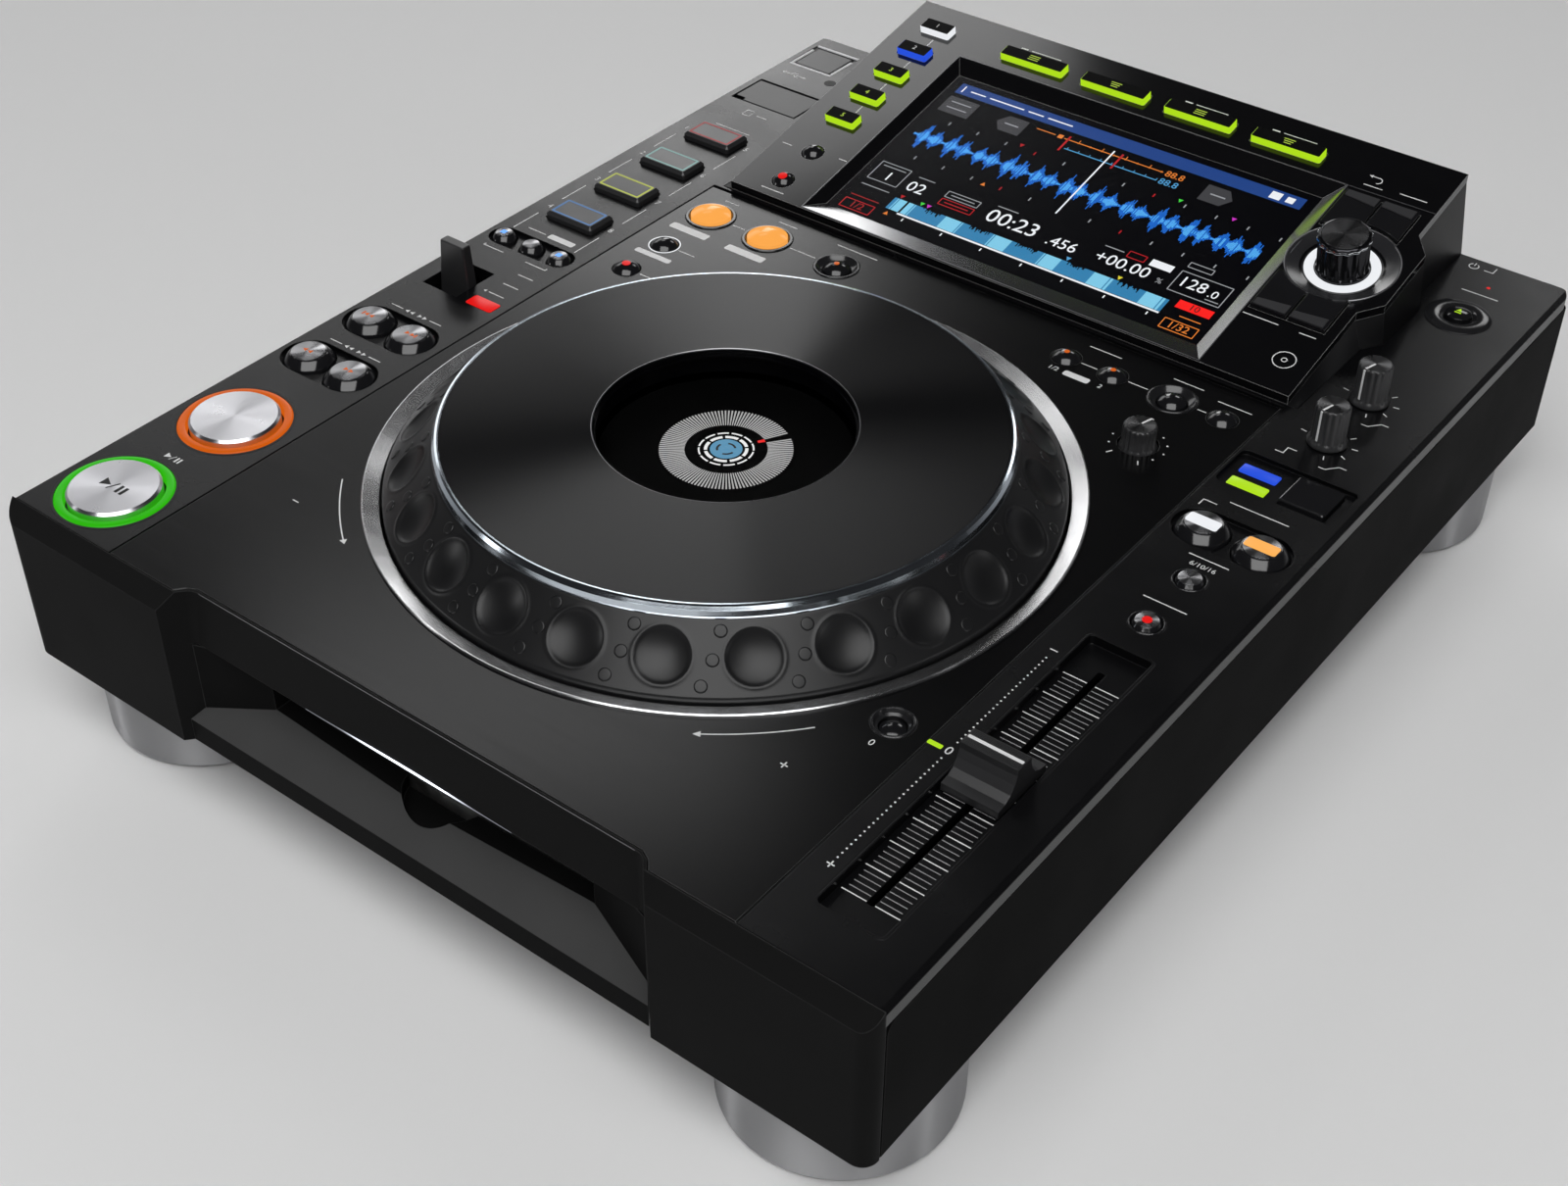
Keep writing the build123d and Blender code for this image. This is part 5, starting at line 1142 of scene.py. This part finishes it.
def color_screen():
    draw = Screen()
    rng = random.Random(7)
    centre = draw.at(SCREEN_W / 2, SCREEN_H / 2)
    base = Solid(-3.12, -3.02).bar(*centre, SCREEN_W, SCREEN_H)
    base.make("screen_base", "base", "screen", "screen_black", place=PANEL)

    # title bar, and a button at each end of the waveform
    for shape in (
        ("navy", 4, 147, 3.2, 9.2),
        ("white", 134.5, 138.6, 4.4, 8.2, 1),
        ("white", 140.6, 143.6, 4.8, 7.8, 1),
        ("white", 6.0, 6.5, 4.4, 8.0, 1),
        ("white", 9.5, 16.0, 6.0, 6.6, 1),
        ("white", 18.0, 33.0, 6.0, 6.6, 1),
        ("white", 35.0, 41.5, 6.0, 6.6, 1),
        ("white", 43.5, 54.0, 6.0, 6.6, 1),
        ("grey", 4, 17, 11.4, 20.8),
        ("mid", 6.2, 14.8, 14.0, 14.5, 1),
        ("mid", 6.2, 14.8, 17.4, 17.9, 1),
    ):
        draw.box(*shape)
    for cx, way in ((33.5, 1), (119.0, -1)):
        shape = ((-6, 0), (-3, -4.4), (5.5, -4.4), (5.5, 4.4), (-3, 4.4))
        outline = [draw.at(cx + way * dx, 16 + dy) for dx, dy in shape]
        draw.layer("grey", 0).prism(outline[::-way])
        draw.box("mid", cx - 2.6, cx + 3.2, 15.7, 16.3, 1)
    # two rulers with their read-outs
    draw.box("orange", 55, 96, 13.3, 13.7)
    draw.box("sky", 58, 96, 18.2, 18.6)
    for k in range(9):
        draw.box("orange", 56 + 4.9 * k, 56.3 + 4.9 * k, 11.9 if k % 2 else 13.0, 14.0)
        draw.box("sky", 59 + 4.6 * k, 59.3 + 4.6 * k, 17.3, 18.6)
    draw.box("red", 56.2, 57.0, 11.6, 20.4, 1)
    draw.box("red", 78.2, 79.0, 11.6, 20.4, 1)
    draw.box("orange", 52.2, 54.2, 12.2, 14.2)
    draw.box("orange", 43.0, 51.0, 13.0, 13.4)
    draw.figures("orange", "88.8", 97.0, 13.6, 4.4)
    draw.figures("sky", "88.8", 97.0, 18.2, 4.4)
    # waveform: bursts of thin bars, taller and paler at each beat
    x, beat, middle_y = 4.6, 12.35, 36.5
    while x < 146.5:
        phase = ((x - 6.0) % beat) / beat
        burst = math.exp(-((phase - 0.2) / 0.13) ** 2) + 0.75 * math.exp(-((phase - 0.62) / 0.16) ** 2)
        tall = min(0.5 + 8.0 * burst * (0.45 + 0.55 * rng.random()), 8.6)
        draw.box("wave", x, x + 0.34, middle_y - tall, middle_y + tall)
        if rng.random() < 0.72:
            draw.box("wave_pale", x, x + 0.3, middle_y - tall * 0.45, middle_y + tall * 0.45, 1)
        x += 0.45
    for k in range(12):
        for y in (25.0, 47.4):
            draw.box("red" if k in (3, 7) else "mid", 13.0 + beat * k, 13.5 + beat * k, y, y + 1.8)
    draw.box("white", 74.6, 75.2, 11.4, 50.6, 2)
    for name, x, y, turn in (
        ("red", 43.6, 24.0, 270),
        ("green", 109.2, 24.0, 270),
        ("magenta", 130.2, 24.0, 270),
        ("orange", 43.6, 49.4, 90),
    ):
        draw.arrow(name, x, y, turn)
    draw.box("dark_red", 4.4, 16.6, 75.6, 76.0)
    # whole-track strip
    x = 20.0
    while x < 131.8:
        level = 0.45 + 0.35 * math.sin(x * 0.31) + 0.2 * rng.random()
        name = "strip_pale" if level > 0.72 else "strip"
        if not 25.0 < x < 25.9:
            draw.box(name, x, x + 0.42, 70.2 + 2.4 * rng.random() * (level < 0.4), 76.6)
        x += 0.44
    for name, x, y, turn in (
        ("red", 22.0, 68.6, 270),
        ("green", 30.6, 68.6, 270),
        ("magenta", 33.4, 68.6, 270),
        ("sky", 91.6, 68.6, 270),
        ("yellow", 112.0, 68.6, 270),
        ("orange", 22.0, 79.2, 90),
    ):
        draw.arrow(name, x, y, turn)
    # frames, rules and figures below the waveform and round the whole-track strip
    for shape in (
        ("mid", 4, 17, 55.2, 65.8),
        ("mid", 35, 49, 58.0, 61.6),
        ("red", 35, 49, 62.4, 66.0),
        ("red", 108.0, 115.0, 55.0, 58.4),
        ("mid", 128.8, 138.2, 50.2, 53.0),
        ("mid", 128.4, 148.2, 55.2, 66.0),
        ("red", 4, 17, 78.2, 83.4),
        ("orange", 135.2, 148.2, 78.0, 83.2),
    ):
        draw.outline(*shape)
    for shape in (
        ("mid", 21.0, 28.0, 56.6, 57.0),
        ("mid", 5.6, 15.4, 56.9, 57.3, 1),
        ("mid", 37.0, 47.0, 59.6, 60.0, 1),
        ("red", 37.0, 47.0, 64.0, 64.4, 1),
        ("mid", 55.0, 63.5, 56.5, 56.9),
        ("mid", 99.0, 106.5, 56.5, 56.9),
        ("white", 117.0, 125.4, 55.0, 58.4, 1),
        ("mid", 142.0, 147.0, 64.0, 64.4),
        ("mid", 4.4, 16.4, 69.0, 69.4),
        ("white", 25.6, 132.2, 76.9, 77.7, 1),
        ("hot_red", 135.2, 148.2, 68.2, 72.2),
        ("orange", 139.0, 147.0, 75.2, 75.6),
    ):
        draw.box(*shape)
    for shape in (
        ("white", "1", 9.4, 62.0, 6.4),
        ("white", "02", 19.8, 62.6, 7.6),
        ("white", "00:23", 54.0, 62.4, 9.6),
        ("white", ".456", 79.6, 63.6, 7.0),
        ("white", "+00.00", 98.6, 62.6, 7.6),
        ("mid", "%", 123.0, 63.8, 3.6),
        ("white", "128", 129.8, 60.2, 7.2),
        ("white", ".0", 141.6, 61.2, 5.2),
        ("dark_red", "1/2", 7.4, 80.8, 4.6),
        ("black", "10", 139.6, 70.2, 4.0, 2),
        ("orange", "1/32", 137.4, 80.6, 4.6),
    ):
        draw.figures(*shape)
    # marks under the strip
    for k in range(7):
        draw.box("white", 29.0 + 16.6 * k, 29.5 + 16.6 * k, 78.6, 80.0)

    for name, solid in draw.layers.items():
        solid.make(f"screen_{name}", "base", "screen", f"lcd_{name}", place=PANEL, weld=True)
    glass = Solid(-2.62, -2.56).bar(*centre, SCREEN_W + 0.6, SCREEN_H + 0.6)
    glass.make("screen_glass", "base", "clear", "lens_glass", place=PANEL)


color_screen()


# ------------------------------------------------------------------ rotary selector
def selector():
    x, y = 101.05, -60.7
    for name, slot, material, profile in (
        ("glow", "lit_keys", "white_light",
         [(12.65, -2.1), (12.65, -1.75), (12.3, -1.55), (9.6, -1.5), (9.4, -1.7), (9.4, -2.1)]),
        ("dish", "black_gloss", "dish_gloss",
         [(19.0, -0.1), (19.0, 0.25), (18.6, 0.38), (18.1, 0.2),
          (13.6, -1.75), (12.7, -1.9), (12.7, -2.1), (17.4, -0.4)]),
        ("rim", "chrome", "seam_silver",
         [(19.2, -0.1), (19.2, 0.3), (19.0, 0.42), (18.8, 0.3), (18.8, -0.1)]),
    ):
        Solid().lathe(profile, x, y, 96, True).make(f"selector_{name}", "base", slot, material, place=PANEL)

    node = "rotary_selector"
    lobes, sides, r = 16, 160, 8.8
    rings = []
    for grow, z, depth in (
        (0.4, -1.6, 0.0), (0.4, -0.9, 0.0), (0.1, -0.5, 0.3), (-0.1, 0.2, 1.0), (-0.1, 10.0, 1.0), (-0.3, 10.3, 1.1),
        (0.0, 10.6, 0.9), (0.25, 11.0, 0.6), (0.1, 11.9, 0.25), (-0.5, 12.4, 0.05), (-1.1, 12.5, 0.0),
    ):
        rings.append(fluted(x, y, r + grow, z, lobes, 0.75 * depth, sides))
    body = Solid().stack(rings).lathe([(3.0, -10.0), (3.0, -1.58)], x, y, 24)
    body.make("selector_body", node, "chrome", "selector_black", place=PANEL, sharp=50, replaces=[node])
    band = []
    for grow, z in ((0.02, 10.55), (0.36, 10.8), (0.42, 11.2), (0.3, 11.6), (-0.2, 11.75), (-0.6, 11.2)):
        band.append(fluted(x, y, r + grow, z, lobes, 0.42, sides))
    crown = Solid().stack(band, closed=True)
    crown.make("selector_crown", node, "chrome", "chrome", place=PANEL, sharp=50)
    face = Solid().lathe([(7.6, 12.45), (7.5, 12.62), (0.01, 12.62)], x, y, 96)
    metal = spun_metal("selector_spun", (0.15, 0.15, 0.155), 0.28, PANEL @ Vector((x, y, 12.6)))
    face.make("selector_face", node, "spun_metal", metal, place=PANEL)

    # fan keys: a raised lip along the outer edge of each
    lips = Solid(1.45, 1.85)
    for side in (-1, 1):
        for end in (-1, 1):
            x0, x1 = sorted((98.5 + side * 1.0, 98.5 + side * 12.6))
            y0 = y + end * 32.9
            lips.prism([(x0, y0), (x1, y0), (x1, y0 - end * 4.4), (x0, y0 - end * 3.0)][::-end])
    lips.make("fan_key_lips", "selector_keys", "black_gloss", "fan_gloss", place=PANEL)


selector()


# ------------------------------------------------------------------ front and rear
def front_details():
    y0, y1, low = -195.78, -195.9, 64.8
    glow = Solid()
    for k in range(26):
        a, b = -39 + 3 * k, -36 + 3 * k
        top_a, top_b = (low + 0.12 + 0.8 * math.cos(math.pi * x / 84) ** 2 for x in (a, b))
        under = [(a, y0, low), (b, y0, low), (b, y1, low), (a, y1, low)]
        glow.stack([under, [(a, y0, top_a), (b, y0, top_b), (b, y1, top_b), (a, y1, top_a)]])
    glow.make("slot_light", "base", "lit_keys", "slot_glow")
    edge = Solid(deck_z - 0.35, deck_z - 0.02).bar(0, -194.0, 162.0, 0.45)
    edge.make("band_edge", "base", "silver_plastic", "seam_silver")


def rear_details():
    """Jack inserts, shells and rules on the rear panel."""
    spin = Matrix.Rotation(math.radians(-90), 4, "X")
    jack_z = 55.0
    profile = [(5.6, 201.3), (5.6, 201.9), (5.3, 202.1), (4.3, 202.1), (4.3, 201.3)]
    for name, x, material in (
        ("phono_left", 98.0, "white_ink"),
        ("phono_right", 116.0, "red_insert"),
        ("coax", 78.0, "gold"),
    ):
        ring = Solid().lathe(profile, sides=48, closed=True)
        ring.make(name + "_insert", "base", "clear", material, place=Matrix.Translation((x, 0, jack_z)) @ spin)
    shells = Solid()
    for x, w, h in ((32.0, 13.2, 10.4), (6.0, 9.8, 9.0)):
        rings = []
        for inset, y in ((0.0, 201.75), (0.0, 202.1), (0.5, 202.1), (0.5, 201.75)):
            outline = round_rect(x, jack_z + 0.4, w, h, 0.6, inset, 3)
            rings.append([(px, y, pz) for px, pz in reversed(outline)])
        shells.stack(rings, closed=True)
    shells.make("jack_shells", "base", "zinc", "zinc_plate")
    signs = print_on(0.0)
    for x in (98.0, 116.0, 78.0, 58.0, 32.0, 6.0):
        signs.bar(-x, 66.5, 10.0, 0.4)
    signs.text("0", 84.0, 70.2, 3.2).text("1", 84.0, 40.0, 3.2)
    upright = Matrix.Rotation(math.pi, 4, "Z") @ Matrix.Rotation(math.pi / 2, 4, "X")
    place = Matrix.Translation((0, 201.2, 0)) @ upright
    signs.make("rear_prints", "base", "clear", "white_ink", place=place, weld=True)


front_details()
rear_details()


# ------------------------------------------------------------------ floor, lights and camera
HORIZON = (0.42, 0.42, 0.43, 1)
FLOOR_REACH = 6.0


def floor_paint():
    """Pale floor that runs out into the horizon's colour well beyond the object."""
    paint = Shader("floor_paint", (0.78, 0.78, 0.78), 0.7, 0.0, 0.2).drift(0.01, 2.0)
    far = paint.node("MapRange", paint.radius_from((0, 0, 0)), 0.8, 2.4, interpolation_type="SMOOTHSTEP")
    seen = paint.node("LightPath", out="Is Camera Ray")
    for kind in ("Is Glossy Ray", "Is Transmission Ray"):
        seen = paint.node("Math", seen, paint.node("LightPath", out=kind), operation="ADD", use_clamp=True)
    share = paint.node("Math", far, seen, operation="MULTIPLY")
    paint.cover(share, paint.bsdf.outputs[0], paint.node("Emission", HORIZON, 1.0))


def floor():
    floor_paint()
    mesh = bpy.data.meshes.new("floor")
    corners = [(x * FLOOR_REACH, y * FLOOR_REACH, 0) for x, y in ((-1, -1), (1, -1), (1, 1), (-1, 1))]
    mesh.from_pydata(corners, [], [(0, 1, 2, 3)])
    mesh.materials.append(finishes["floor_paint"])
    piece = bpy.data.objects.new("floor", mesh)
    bpy.context.scene.collection.objects.link(piece)


def world():
    """Pale at the horizon, dark overhead."""
    sky = bpy.data.worlds.new("studio")
    bpy.context.scene.world = sky
    sky.use_nodes = True
    tree = sky.node_tree
    coords = tree.nodes.new("ShaderNodeTexCoord")
    split = tree.nodes.new("ShaderNodeSeparateXYZ")
    ramp = tree.nodes.new("ShaderNodeValToRGB")
    for element, position, color in zip(ramp.color_ramp.elements, (0.0, 0.3), (HORIZON, (0.02, 0.02, 0.021, 1))):
        element.position = position
        element.color = color
    tree.links.new(coords.outputs["Generated"], split.inputs[0])
    tree.links.new(split.outputs["Z"], ramp.inputs["Fac"])
    tree.links.new(ramp.outputs["Color"], tree.nodes["Background"].inputs["Color"])


def softbox(name, azimuth, elevation, distance, width, height, radiance, roll=0.0):
    """A soft light that faces the object; azimuth is from +X towards +Y."""
    a, e = math.radians(azimuth), math.radians(elevation)
    spot = Vector((math.cos(a) * math.cos(e), math.sin(a) * math.cos(e), math.sin(e))) * distance
    data = bpy.data.lights.new(name, "AREA")
    data.shape = "RECTANGLE"
    data.size, data.size_y = width, height
    data.energy = radiance * math.pi * width * height
    lamp = bpy.data.objects.new(name, data)
    lamp.location = spot
    lamp.rotation_mode = "QUATERNION"
    lamp.rotation_quaternion = (-spot).to_track_quat("-Z", "Y") @ Quaternion((0, 0, 1), math.radians(roll))
    bpy.context.scene.collection.objects.link(lamp)


def camera():
    data = bpy.data.cameras.new("camera")
    data.lens, data.sensor_width = 50.47, 36.0
    lens = bpy.data.objects.new("camera", data)
    right = Vector((0.79084016, 0.61199447, 0.00588337))
    down = Vector((0.39026323, -0.49685982, -0.77512898))
    ahead = Vector((-0.47145144, 0.61529918, -0.63177564))
    turn = Matrix((right, -down, -ahead)).transposed()
    lens.matrix_world = Matrix.Translation(Vector((341.4, -474.2, 476.3)) * MM) @ turn.to_4x4()
    bpy.context.scene.collection.objects.link(lens)
    bpy.context.scene.camera = lens


floor()
world()
softbox("tall_strip", 128, 20.5, 8.0, 1.4, 3.4, 4.0, -20.0)
softbox("panel_strip", 138, 42.8, 8.0, 1.9, 0.95, 3.0)
softbox("left_wall", 152, 23, 8.0, 3.6, 2.8, 1.6)
softbox("rear_right", 98, 30, 8.0, 1.6, 1.6, 3.0)
softbox("left_side", -142, 10, 8.0, 0.9, 2.4, 5.0)
softbox("right_side", 12, 10, 8.0, 0.9, 2.4, 4.0)
softbox("key", -60, 62, 2.4, 2.2, 2.0, 3.8)
camera()
bpy.context.scene.view_settings.view_transform = "Standard"
